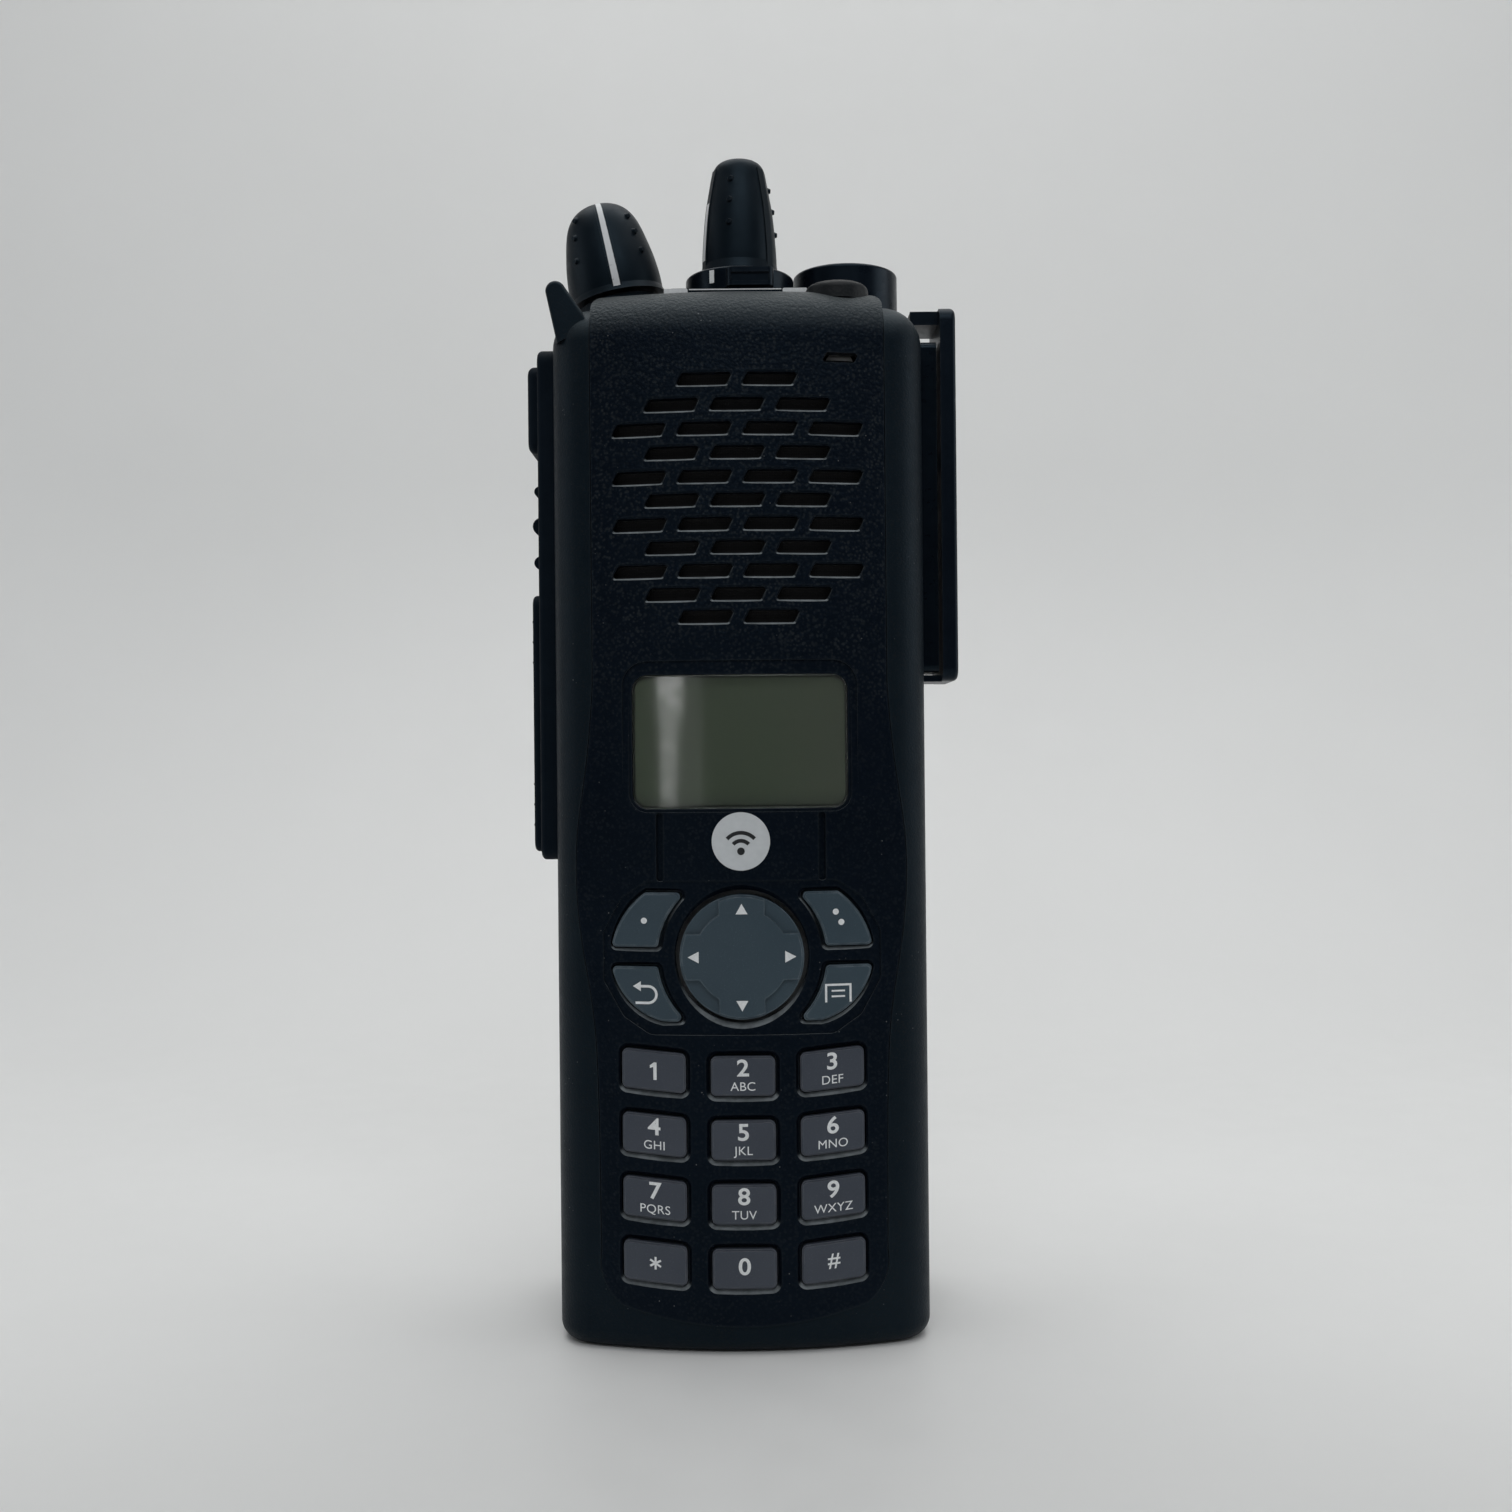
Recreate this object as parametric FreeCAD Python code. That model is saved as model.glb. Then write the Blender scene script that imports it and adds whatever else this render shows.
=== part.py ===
import FreeCAD, Part
import os, math

os.makedirs("parts", exist_ok=True)
V = FreeCAD.Vector

# ---------------------------------------------------------------- dimensions
# Frame: origin at the centre of the base, +Z up, front faces -Y. Millimetres.
# Heights below are drawn from a datum that lies LIFT above the base; every
# piece is raised by LIFT when it is written.
LIFT = 1.2
HALF_W = 31.0          # half width of the body
FRONT_Y = -21.0        # foremost line of the crowned front panel
BACK_Y = 21.0          # back face
CROWN_R = 90.0         # radius of the crowned front
FLANK_DROP = 0.5       # flanks lie this much behind the panel
CORNER_R = 7.0         # front vertical corners
REAR_R = 7.0           # rear vertical corners
SHOULDER_Z = 171.0     # top of the shoulders
DECK_Z = 173.5         # top deck between the shoulders
ROLL_R = 9.0           # panel rolls over the top edge with this radius
PANEL_T = 2.2          # wall of the front panel
GAP = 0.15             # seam between panel and housing
WALL = 2.2             # housing wall
SPLIT_Z = 132.0        # top of the battery bay
BAY_Y = 2.2            # front of the battery bay
CAV_TOP = 167.2        # top of the inside

WIN_W, WIN_Z0, WIN_Z1, WIN_R = 17.5, 87.6, 109.2, 2.4   # display window
NAV_Z, NAV_R = 63.5, 10.1                               # four-way pad
KEY_W, KEY_H, KEY_R = 10.4, 6.4, 0.95                   # number keys
KEY_X = 14.5
KEY_ROWS = (44.2, 33.8, 23.4, 13.0)
KEY_RISE = 0.8         # outer columns sit higher
KEY_SHEAR = math.tan(math.radians(4.8))
KEY_TRAVEL = 0.6
KEY_PROUD = 0.35
KEY_GAP = 0.3

CH_X, CH_Y = 0.5, 0.0          # channel knob axis
VOL_X, VOL_Y, VOL_Z = -20.7, 0.0, 175.45   # foot of the volume knob axis
VOL_LEAN = 12.0                 # degrees towards -X
ANT_X, ANT_Y, ANT_R, ANT_TOP = 19.2, 5.0, 9.2, 181.0
BTN_X, BTN_Y, BTN_R, BTN_TOP = 16.9, -10.3, 5.3, 174.9

nodes = {}

# ------------------------------------------------------------------- helpers
def box(x0, x1, y0, y1, z0, z1):
    return Part.makeBox(x1 - x0, y1 - y0, z1 - z0, V(x0, y0, z0))

def cyl(r, a, b):
    a, b = V(*a), V(*b)
    return Part.makeCylinder(r, (b - a).Length, a, b - a)

def cone(r0, r1, a, b):
    a, b = V(*a), V(*b)
    return Part.makeCone(r0, r1, (b - a).Length, a, b - a)

def poly_y(pts, y0, y1):
    """Polygon given as (x, z), extruded along Y."""
    w = Part.makePolygon([V(x, y0, z) for x, z in pts] + [V(pts[0][0], y0, pts[0][1])])
    return Part.Face(w).extrude(V(0, y1 - y0, 0))

def poly_x(pts, x0, x1):
    """Polygon given as (y, z), extruded along X."""
    w = Part.makePolygon([V(x0, y, z) for y, z in pts] + [V(x0, pts[0][0], pts[0][1])])
    return Part.Face(w).extrude(V(x1 - x0, 0, 0))

def fillet_par(s, axis, r, test=None):
    """Round the straight edges that run along one axis."""
    es = []
    for e in s.Edges:
        if len(e.Vertexes) < 2:
            continue
        d = e.Vertexes[-1].Point.sub(e.Vertexes[0].Point)
        if d.Length < 1e-6:
            continue
        d.normalize()
        if abs(abs(d.dot(V(*axis))) - 1) < 1e-6 and (test is None or test(e.BoundBox.Center)):
            es.append(e)
    return s.makeFillet(r, es) if es else s

def rrect_y(xc, zc, w, h, r, y0, y1):
    s = box(xc - w / 2, xc + w / 2, y0, y1, zc - h / 2, zc + h / 2)
    return fillet_par(s, (0, 1, 0), r)

def rrect_z(x0, x1, y0, y1, r, z0, z1):
    return fillet_par(box(x0, x1, y0, y1, z0, z1), (0, 0, 1), r)

def rrect_x(y0, y1, z0, z1, r, x0, x1):
    return fillet_par(box(x0, x1, y0, y1, z0, z1), (1, 0, 0), r)

def crown(off, z0=-10.0, z1=200.0):
    """Everything behind the crowned front surface pushed back by off."""
    r = CROWN_R - off
    cyy = FRONT_Y + CROWN_R
    c = Part.makeCylinder(r, z1 - z0, V(0, cyy, z0), V(0, 0, 1))
    return c.common(box(-60, 60, -60, 40, z0, z1))

def solid_of(s):
    s = s.removeSplitter()
    if s.ShapeType == "Solid":
        return s
    sol = s.Solids
    if len(sol) == 1:
        return sol[0]
    return Part.makeCompound(sol)

def keep(name, s, largest=False):
    s = s.removeSplitter()
    sol = [q for q in s.Solids if q.Volume > 1e-3]
    if largest:
        sol = [max(sol, key=lambda q: q.Volume)]
    nodes[name] = sol[0] if len(sol) == 1 else Part.makeCompound(sol)

def body_section(off, z0, z1, front=FLANK_DROP):
    """Plan section of the body, pulled in by off, extruded from z0 to z1."""
    hw, R = HALF_W - off, CROWN_R - front - off
    cyy = FRONT_Y + CROWN_R
    r = CORNER_R - off
    xc = hw - r
    yc = cyy - math.sqrt((R - r) ** 2 - xc ** 2)
    k = R / (R - r)
    tx, ty = xc * k, cyy + (yc - cyy) * k
    a = math.atan2(ty - yc, tx - xc) / 2
    m = (xc + r * math.cos(a), yc + r * math.sin(a))
    yb, rb = BACK_Y - off, REAR_R - off
    q = rb * (1 - math.sqrt(0.5))
    P = lambda x, y: V(x, y, z0)
    e = [Part.Arc(P(-tx, ty), P(0, cyy - R), P(tx, ty)).toShape(),
         Part.Arc(P(tx, ty), P(*m), P(hw, yc)).toShape(),
         Part.LineSegment(P(hw, yc), P(hw, yb - rb)).toShape(),
         Part.Arc(P(hw, yb - rb), P(hw - q, yb - q), P(hw - rb, yb)).toShape(),
         Part.LineSegment(P(hw - rb, yb), P(-hw + rb, yb)).toShape(),
         Part.Arc(P(-hw + rb, yb), P(-hw + q, yb - q), P(-hw, yb - rb)).toShape(),
         Part.LineSegment(P(-hw, yb - rb), P(-hw, yc)).toShape(),
         Part.Arc(P(-hw, yc), P(-m[0], m[1]), P(-tx, ty)).toShape()]
    return Part.Face(Part.Wire(e)).extrude(V(0, 0, z1 - z0))

def fillet_level(s, z, r):
    es = [e for e in s.Edges if abs(e.BoundBox.ZMin - z) < 1e-6 and abs(e.BoundBox.ZMax - z) < 1e-6]
    return s.makeFillet(r, es)

# ------------------------------------------------------------ panel outline
def panel_outline(off, y0, y1, zbot=3.6, ztop=190.0):
    """Outline of the front panel in the XZ plane: straight at the top, swelling
    beside the keys, narrower again below, with a shallow arc at the bottom."""
    half = [(24.1, ztop), (24.1, 108.0), (24.7, 100.0), (25.6, 92.5), (26.6, 86.0), (27.15, 79.0),
            (26.9, 71.5), (26.0, 64.0), (24.9, 57.5), (24.2, 52.0), (23.75, 44.0), (23.5, 30.0), (23.4, 15.0)]
    half = [(x + off, z) for x, z in half]
    half += [(22.6 + off * 0.8, 9.6 - off * 0.5), (20.0 + off * 0.4, 6.7 - off * 0.9)]
    mid = V(0, y0, zbot - off)
    up = [V(x, y0, z) for x, z in half]
    lo = [V(-x, y0, z) for x, z in half]
    def spline(pts):
        b = Part.BSplineCurve()
        b.interpolate(pts)
        return b.toShape()
    e = [Part.LineSegment(up[0], up[1]).toShape(),
         spline(up[1:13]),
         Part.Arc(up[12], up[13], up[14]).toShape(),
         Part.Arc(up[14], mid, lo[14]).toShape(),
         Part.Arc(lo[14], lo[13], lo[12]).toShape(),
         spline(lo[12:0:-1]),
         Part.LineSegment(lo[1], lo[0]).toShape(),
         Part.LineSegment(lo[0], up[0]).toShape()]
    return Part.Face(Part.Wire(Part.__sortEdges__(e))).extrude(V(0, y1 - y0, 0))

def rolled(off):
    """Crowned front that rolls over into the top deck, pushed in by off."""
    s = crown(off, -10.0, DECK_Z - off)
    es = [e for e in s.Edges if abs(e.BoundBox.ZMin - (DECK_Z - off)) < 1e-6
          and abs(e.BoundBox.ZMax - (DECK_Z - off)) < 1e-6 and e.BoundBox.Center.y < 0
          and abs(e.BoundBox.XLength) > 40 and e.BoundBox.YMin < 0]
    es = [e for e in es if e.Curve.TypeId == "Part::GeomCircle"]
    return s.makeFillet(ROLL_R - off, es)

# ------------------------------------------------- frames of the leaning knob
LA = math.radians(VOL_LEAN)
VAX = V(-math.sin(LA), 0, math.cos(LA))
def vol(t):
    return (VOL_X + VAX.x * t, VOL_Y, VOL_Z + VAX.z * t)

# ------------------------------------------------------------- outer body
body = body_section(0, -LIFT, SHOULDER_Z)
body = fillet_level(body, SHOULDER_Z, 6.5)
body = fillet_level(body, -LIFT, 3.0)

# --------------------------------------------------------------- front panel
skin_out = rolled(0)
skin_in = rolled(PANEL_T)
panel = skin_out.cut(skin_in).common(panel_outline(0, -30, -11.5))
# Top corners of panel and deck are rounded towards the shoulders.
TOP_R = 3.0
def top_cap(half, top):
    s = fillet_par(box(-half, half, -40, 40, 140, top), (0, 1, 0), TOP_R, lambda c: c.z > 150)
    return s.fuse(box(-40, 40, -40, 40, -10, 140.5))
panel = panel.common(top_cap(24.1, DECK_Z))

def key_slot(x, z, w, h, r, y0, y1, shear=0.0):
    """Number key outline: parallelogram with upright sides."""
    pts = [(x + sx * w / 2, z + sz * h / 2 + shear * sx * w / 2) for sx, sz in ((-1, -1), (1, -1), (1, 1), (-1, 1))]
    return fillet_par(poly_y(pts, y0, y1), (0, 1, 0), r)

def front_wire(prism):
    y0 = prism.BoundBox.YMin
    f = [f for f in prism.Faces if f.BoundBox.YMax - y0 < 1e-5]
    return f[0].OuterWire

def mouth(outline, xk, g_in, g_out, depth, over=0.45):
    """Ruled funnel between two outlines, square to the crowned surface at xk."""
    ys = FRONT_Y + CROWN_R - math.sqrt(CROWN_R ** 2 - xk ** 2)
    k = (g_out - g_in) / depth
    w0 = front_wire(outline(g_in, ys + depth))
    w1 = front_wire(outline(g_out + k * over, ys - over))
    f = Part.makeLoft([w0, w1], True, True)
    f.rotate(V(xk, ys, 0), V(0, 0, 1), math.degrees(math.asin(xk / CROWN_R)))
    return f

cuts, lips = [], []
# Loudspeaker slots: slanted, staggered like bricks.
SLOT_L, SLOT_H, SLOT_LEAN = 8.75, 2.1, 1.1
slot_rows = ((157.3, 2), (153.2, 3), (149.3, 4), (145.4, 3), (141.5, 4), (137.7, 3), (133.8, 4),
             (130.0, 3), (126.2, 4), (122.4, 3), (118.7, 2))
def slot(x, z, l, h, lean, y0=-30, y1=-10):
    p = [(x - l / 2 - lean / 2 + lean * 0, z - h / 2), (x + l / 2 - lean / 2, z - h / 2),
         (x + l / 2 + lean / 2, z + h / 2), (x - l / 2 + lean / 2, z + h / 2)]
    return fillet_par(poly_y(p, y0, y1), (0, 1, 0), 0.45)
for zz, n in slot_rows:
    for k in range(n):
        xs, ls = (k - (n - 1) / 2) * 10.7, SLOT_L - SLOT_LEAN * 0.4
        cuts.append(slot(xs, zz, ls, SLOT_H, SLOT_LEAN))
        lips.append(mouth(lambda g, y: slot(xs, zz, ls + 2 * g, SLOT_H + 2 * g, SLOT_LEAN, y, y + 5), xs, 0.02, 0.34, 0.36, 0.3))
cuts.append(slot(16.9, 160.8, 5.4, 1.6, 0.9))
# Display window.
cuts.append(rrect_y(0, (WIN_Z0 + WIN_Z1) / 2, 2 * WIN_W + 0.24, WIN_Z1 - WIN_Z0 + 0.24, WIN_R + 0.12, -30, -10))
panel = panel.cut(Part.makeCompound(cuts))
for k in range(0, len(lips), 6):
    panel = panel.cut(lips[k:k + 6])
# Shallow step round the window and the two grooves beside the badge.
lip = rrect_y(0, (WIN_Z0 + WIN_Z1) / 2, 2 * WIN_W + 1.3, WIN_Z1 - WIN_Z0 + 1.3, WIN_R + 0.65, -30, -10)
panel = panel.cut(lip.cut(crown(0.28)))
# Brow: a wide recess that is deepest at its top edge and runs out downwards.
brow = rrect_y(0, 98.8, 38.4, 25.6, 4.0, -30, -10)
tilted = crown(0.0)
tilted.rotate(V(0, FRONT_Y, 90.0), V(1, 0, 0), -0.93)
panel = panel.cut(brow.cut(tilted))
for sx in (-1, 1):
    g = fillet_par(box(sx * 13.2 - 0.58, sx * 13.2 + 0.58, -30, -10, 75.7, 86.9), (0, 1, 0), 0.5)
    panel = panel.cut(g.cut(crown(0.85)))

# Recess that holds the four-way pad and its quarter keys.
def cluster(off, y0, y1):
    ox, oz = 22.7 + off, 12.3 + off
    pts = [(-15.5, oz), (-19.6, 9.6 + off * 0.7), (-ox, 4.0), (-ox, -4.0), (-19.4, -9.8 - off * 0.7), (-15.0, -oz - 0.4),
           (15.0, -oz - 0.4), (19.4, -9.8 - off * 0.7), (ox, -4.0), (ox, 4.0), (19.6, 9.6 + off * 0.7), (15.5, oz)]
    return fillet_par(poly_y([(x, NAV_Z + z) for x, z in pts], y0, y1), (0, 1, 0), 2.2)
panel = panel.cut(cluster(0, -30, -10).cut(crown(0.22)))

# Keys: outlines as prisms, so that wells and caps share one drawing.
key_specs = {}
names = (("key_1", "key_2", "key_3"), ("key_4", "key_5", "key_6"), ("key_7", "key_8", "key_9"), ("key_star", "key_0", "key_hash"))
for row, zc in enumerate(KEY_ROWS):
    for col, sx in enumerate((-1, 0, 1)):
        key_specs[names[row][col]] = (sx * KEY_X, zc + (KEY_RISE if sx else 0.0), sx * KEY_SHEAR)

def number_key(name, grow, y0=-30, y1=-10):
    x, z, sh = key_specs[name]
    return key_slot(x, z, KEY_W + 2 * grow, KEY_H + 2 * grow, KEY_R + grow * 0.8, y0, y1, sh)

def quarter(kind, grow, y0=-30, y1=-10):
    """Quarter keys round the pad; kind is tl, tr, bl or br."""
    left = kind[1] == "l"
    g = grow
    rin = 13.75 - g
    if kind[0] == "t":
        za, zb = 10.45 + g, 1.6 - g
        out = [(-15.7 + g * 0.1, za), (-19.15 - g * 0.72, 6.9 + g * 0.72), (-21.3 - g, zb)]
    else:
        za, zb = -10.45 - g, -1.6 + g
        out = [(-12.9, za), (-18.3 - g * 0.72, -7.4 - g * 0.72), (-21.3 - g, zb)]
    ina = (-math.sqrt(rin ** 2 - za ** 2), za)
    inb = (-math.sqrt(rin ** 2 - zb ** 2), zb)
    aa, ab = math.atan2(ina[1], ina[0]), math.atan2(inb[1], inb[0])
    if ab < 0 and aa > 0: ab += 2 * math.pi
    if aa < 0 and ab > 0: aa += 2 * math.pi
    am = (aa + ab) / 2
    inm = (rin * math.cos(am), rin * math.sin(am))
    s = 1 if left else -1
    P = lambda p: V(s * p[0], y0, NAV_Z + p[1])
    e = [Part.Arc(P(out[0]), P(out[1]), P(out[2])).toShape(), Part.LineSegment(P(out[2]), P(inb)).toShape(),
         Part.Arc(P(inb), P(inm), P(ina)).toShape(), Part.LineSegment(P(ina), P(out[0])).toShape()]
    f = Part.Face(Part.Wire(Part.__sortEdges__(e))).extrude(V(0, y1 - y0, 0))
    return fillet_par(f, (0, 1, 0), 0.7 + g * 0.6)

quarters = {"soft_key_left": "tl", "soft_key_right": "tr", "back_key": "bl", "menu_key": "br"}

# Wells: upright hole with a mouth that slopes at about 45 degrees.
BEVEL_IN, BEVEL_OUT, BEVEL_D = 0.32, 0.98, 0.72
for n in key_specs:
    panel = panel.cut(number_key(n, KEY_GAP))
    panel = panel.cut(mouth(lambda g, y, n=n: number_key(n, g, y, y + 5), key_specs[n][0], BEVEL_IN, BEVEL_OUT, BEVEL_D))
for n, kd in quarters.items():
    panel = panel.cut(quarter(kd, KEY_GAP))
    panel = panel.cut(mouth(lambda g, y, kd=kd: quarter(kd, g, y, y + 5), -15.5 if kd[1] == "l" else 15.5, BEVEL_IN, BEVEL_OUT, BEVEL_D))
NAV_HOLE = NAV_R + 0.75
nav_hole = cyl(NAV_HOLE, (0, -30, NAV_Z), (0, -10, NAV_Z))
panel = panel.cut(nav_hole)
panel = panel.cut(cone(NAV_HOLE + 1.75, NAV_HOLE - 0.2, (0, FRONT_Y - 0.7, NAV_Z), (0, FRONT_Y + 1.25, NAV_Z)))
panel = panel.cut(cyl(BTN_R + 0.25, (BTN_X, BTN_Y, 160), (BTN_X, BTN_Y, 190)))
keep("front_panel", panel, largest=True)

# --------------------------------------------------------------- key caps
for n in key_specs:
    cap = number_key(n, 0).common(crown(-KEY_PROUD).cut(crown(3.8)))
    # bevelled rim of the cap
    cap = cap.cut(number_key(n, 0.5).cut(number_key(n, -0.28)).cut(crown(-KEY_PROUD + 0.22)))
    flange = number_key(n, KEY_GAP + 0.45).common(crown(PANEL_T + 0.15).cut(crown(3.8)))
    keep(n, cap.fuse(flange))
for n, kd in quarters.items():
    cap = quarter(kd, 0).common(crown(-KEY_PROUD).cut(crown(3.8)))
    cap = cap.cut(quarter(kd, 0.5).cut(quarter(kd, -0.28)).cut(crown(-KEY_PROUD + 0.22)))
    flange = quarter(kd, KEY_GAP + 0.4).common(crown(PANEL_T + 0.15).cut(crown(3.8)))
    keep(n, cap.fuse(flange))

# --------------------------------------------------------- four-way pad
disc = cyl(NAV_R, (0, -30, NAV_Z), (0, -10, NAV_Z))
pad = disc.common(crown(-0.55).cut(crown(2.4)))
pad = pad.cut(disc.cut(cyl(NAV_R - 0.35, (0, -30, NAV_Z), (0, -10, NAV_Z))).cut(crown(-0.25)))
arms = box(-3.7, 3.7, -31, -9, NAV_Z - 12, NAV_Z + 12).fuse(box(-12, 12, -31, -9, NAV_Z - 3.7, NAV_Z + 3.7)).fuse(
    cyl(7.7, (0, -31, NAV_Z), (0, -9, NAV_Z)))
pad = pad.cut(disc.cut(arms).cut(crown(0.15)))
pad = pad.fuse(cyl(1.6, (0, -18.9, NAV_Z), (0, -17.2, NAV_Z)))
keep("nav_pad", pad, largest=True)
# Pivot plate: carries the pad on its boss and rocks crosswise.
piv = cyl(4.6, (0, -17.4, NAV_Z), (0, -16.4, NAV_Z)).cut(cyl(1.65, (0, -18, NAV_Z), (0, -15, NAV_Z)))
piv = piv.fuse(cyl(0.6, (-6.2, -16.9, NAV_Z), (-3.0, -16.9, NAV_Z))).fuse(cyl(0.6, (3.0, -16.9, NAV_Z), (6.2, -16.9, NAV_Z)))
keep("nav_pivot", piv)

# ------------------------------------------------------------- display stack
WZ = (WIN_Z0 + WIN_Z1) / 2
lens = rrect_y(0, WZ, 2 * WIN_W, WIN_Z1 - WIN_Z0, WIN_R, -30, -18.3).common(crown(0.2))
rim = [e for e in lens.Edges if e.BoundBox.YMax < -19.0]
try:
    lens = lens.makeFillet(0.2, rim)
except Exception:
    pass
keep("display_lens", lens)
lcd = rrect_y(0, WZ, 34.2, 20.8, 2.1, -18.15, -15.6).fuse(box(-21.0, 21.0, -15.6, -14.3, 84.6, 112.6))
keep("lcd_module", lcd)
gask = rrect_y(0, WZ, 40.6, 27.4, 3.0, -30, -15.7).cut(rrect_y(0, WZ, 36.0, 22.4, 2.5, -31, -10)).common(crown(PANEL_T + 0.02))
keep("lcd_gasket", gask, largest=True)
badge = cyl(4.73, (0, -24, 82.2), (0, -15, 82.2)).common(crown(-0.12).cut(crown(0.0)))
keep("badge", badge)

# ------------------------------------------------------------- main housing
housing = body
deck = fillet_par(box(-23.9, 23.9, -11.35, 17.0, 160, DECK_Z), (0, 0, 1), 3.2, lambda c: c.y > 0)
deck = deck.common(top_cap(23.9, DECK_Z))
housing = housing.fuse(deck)
# tilted pedestal under the volume knob
housing = housing.fuse(cyl(7.2, vol(-9.0), vol(-0.45)).common(box(-40, 0, -20, 20, 165, 190)))
# knob guard fin on the front left shoulder
FIN_Y0, FIN_Y1 = -15.5, -6.5
def xz(x, z):
    return V(x, FIN_Y0, z)
fin_edges = [Part.LineSegment(xz(-24.8, 167.2), xz(-29.75, 164.6)).toShape(),
             Part.LineSegment(xz(-29.75, 164.6), xz(-31.56, 172.99)).toShape(),
             Part.Arc(xz(-31.56, 172.99), xz(-30.62, 174.86), xz(-28.6, 174.3)).toShape(),
             Part.LineSegment(xz(-28.6, 174.3), xz(-25.3, 169.5)).toShape(),
             Part.LineSegment(xz(-25.3, 169.5), xz(-24.8, 167.2)).toShape()]
fin = Part.Face(Part.Wire(Part.__sortEdges__(fin_edges))).extrude(V(0, FIN_Y1 - FIN_Y0, 0))
fin = fin.makeFillet(0.6, [e for e in fin.Edges if e.BoundBox.YMax < FIN_Y0 + 1e-4 and e.BoundBox.ZMax > 170])
fin = fin.common(Part.makeCylinder(12.0, 20, V(-40, -14.0, 163.4), V(1, 0, 0)))
housing = housing.fuse(fin).removeSplitter()

# pocket for the panel and the opening behind it
pocket = panel_outline(GAP, -30, -11.35).cut(rolled(PANEL_T))
housing = housing.cut(pocket)
opening = panel_outline(-2.6, -30, -12.0, zbot=3.6, ztop=190.0).common(box(-40, 40, -31, -5, 2.0, 163.5))
housing = housing.cut(opening)

# inside
inner = body_section(WALL, 2.6 - LIFT, CAV_TOP, front=0.0).common(crown(PANEL_T + 2.1))
room = inner.common(box(-40, 40, -30, 0, 0, 180)).fuse(
    body_section(WALL, SPLIT_Z + 2.5, CAV_TOP).common(box(-40, 40, -1, 30, 0, 180)))
housing = housing.cut(room)
# battery bay
housing = housing.cut(box(-40, 40, BAY_Y, 40, -5, SPLIT_Z))

# deck openings
button_well = cyl(BTN_R + 0.25, (BTN_X, BTN_Y, 170.2), (BTN_X, BTN_Y, 190)).fuse(
    cyl(2.7, (BTN_X, BTN_Y, 160), (BTN_X, BTN_Y, 171)))
housing = housing.cut(button_well)
housing = housing.cut(cyl(4.3, (CH_X, CH_Y, 160), (CH_X, CH_Y, 190)))
housing = housing.cut(cyl(3.8, vol(-14), vol(5)))
housing = housing.cut(cyl(6.6, (ANT_X, ANT_Y, 160), (ANT_X, ANT_Y, 190)))

# windows in the left wall for the button plungers
PTT = (79.9, 124.0)
SBU = (148.5, 163.4)
SBL = (127.6, 144.4)
plunger_z = (90.0, 113.0, 136.0, 156.0)
for z in plunger_z:
    housing = housing.cut(cyl(1.7, (-35, -2.2, z), (-20, -2.2, z)))
# cable window behind the accessory connector
housing = housing.cut(box(25, 35, -3, 2, 116, 124))
# contact window behind the battery
housing = housing.cut(box(-9, 9, -1, 5, 118, 126))
# screw holes with counterbores through the bay wall
screws_xz = ((-22.0, 14.0), (22.0, 14.0), (-22.0, 108.0), (22.0, 108.0))
for x, z in screws_xz:
    housing = housing.cut(cyl(1.5, (x, -2, z), (x, 5, z))).cut(cyl(2.7, (x, 0.9, z), (x, 5, z)))
# two threaded inserts for a belt clip on the upper back
CLIP_X, CLIP_Z, CLIP_R, CLIP_D = 10.0, 152.0, 1.25, 5.0
for sx in (-1, 1):
    housing = housing.fuse(cyl(3.2, (sx * CLIP_X, 14.5, CLIP_Z), (sx * CLIP_X, 19.5, CLIP_Z)))
for sx in (-1, 1):
    housing = housing.cut(cyl(CLIP_R, (sx * CLIP_X, BACK_Y - CLIP_D, CLIP_Z), (sx * CLIP_X, BACK_Y + 1, CLIP_Z)))
keep("main_housing", housing, largest=True)

# ---------------------------------------------------------- top of the radio
# Marked plate round the channel knob, with a collar under the ring.
plate = rrect_z(-12.4, 12.6, -10.7, 13.5, 2.0, DECK_Z, DECK_Z + 1.3)
plate = plate.fuse(cyl(8.3, (CH_X, CH_Y, DECK_Z), (CH_X, CH_Y, 175.1)))
plate = plate.cut(cyl(4.3, (CH_X, CH_Y, 170), (CH_X, CH_Y, 190)))
plate = plate.cut(cyl(ANT_R + 0.25, (ANT_X, ANT_Y, 170), (ANT_X, ANT_Y, 190)))
plate = plate.cut(cyl(BTN_R + 0.9, (BTN_X, BTN_Y, 170), (BTN_X, BTN_Y, 190)))
plate = plate.cut(cyl(8.85, vol(-9), vol(9)))
keep("top_escutcheon", plate, largest=True)

# Selector ring with its lug.
RING_R0, RING_R1, RING_Z0, RING_Z1 = 4.75, 9.4, 175.4, 179.1
ring = cyl(RING_R1, (CH_X, CH_Y, RING_Z0), (CH_X, CH_Y, RING_Z1))
ring = ring.cut(cyl(RING_R0, (CH_X, CH_Y, 170), (CH_X, CH_Y, 190)))
lug = rrect_z(CH_X - 2.2, CH_X + 5.8, -10.6, -5.0, 1.2, RING_Z0, RING_Z1 - 0.6)
lug = lug.cut(cyl(RING_R0, (CH_X, CH_Y, 170), (CH_X, CH_Y, 190)))
lug = lug.cut(box(CH_X - 1.4, CH_X + 5.0, -11.5, -10.2, RING_Z0 + 0.7, RING_Z1 - 1.5))
ring = ring.fuse(lug)
es = [e for e in ring.Edges if e.BoundBox.ZMin > RING_Z1 - 1e-4 and e.Curve.TypeId == "Part::GeomCircle" and e.BoundBox.XLength > 15]
ring = ring.makeFillet(0.5, es)
keep("toggle_ring", ring, largest=True)

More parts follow.
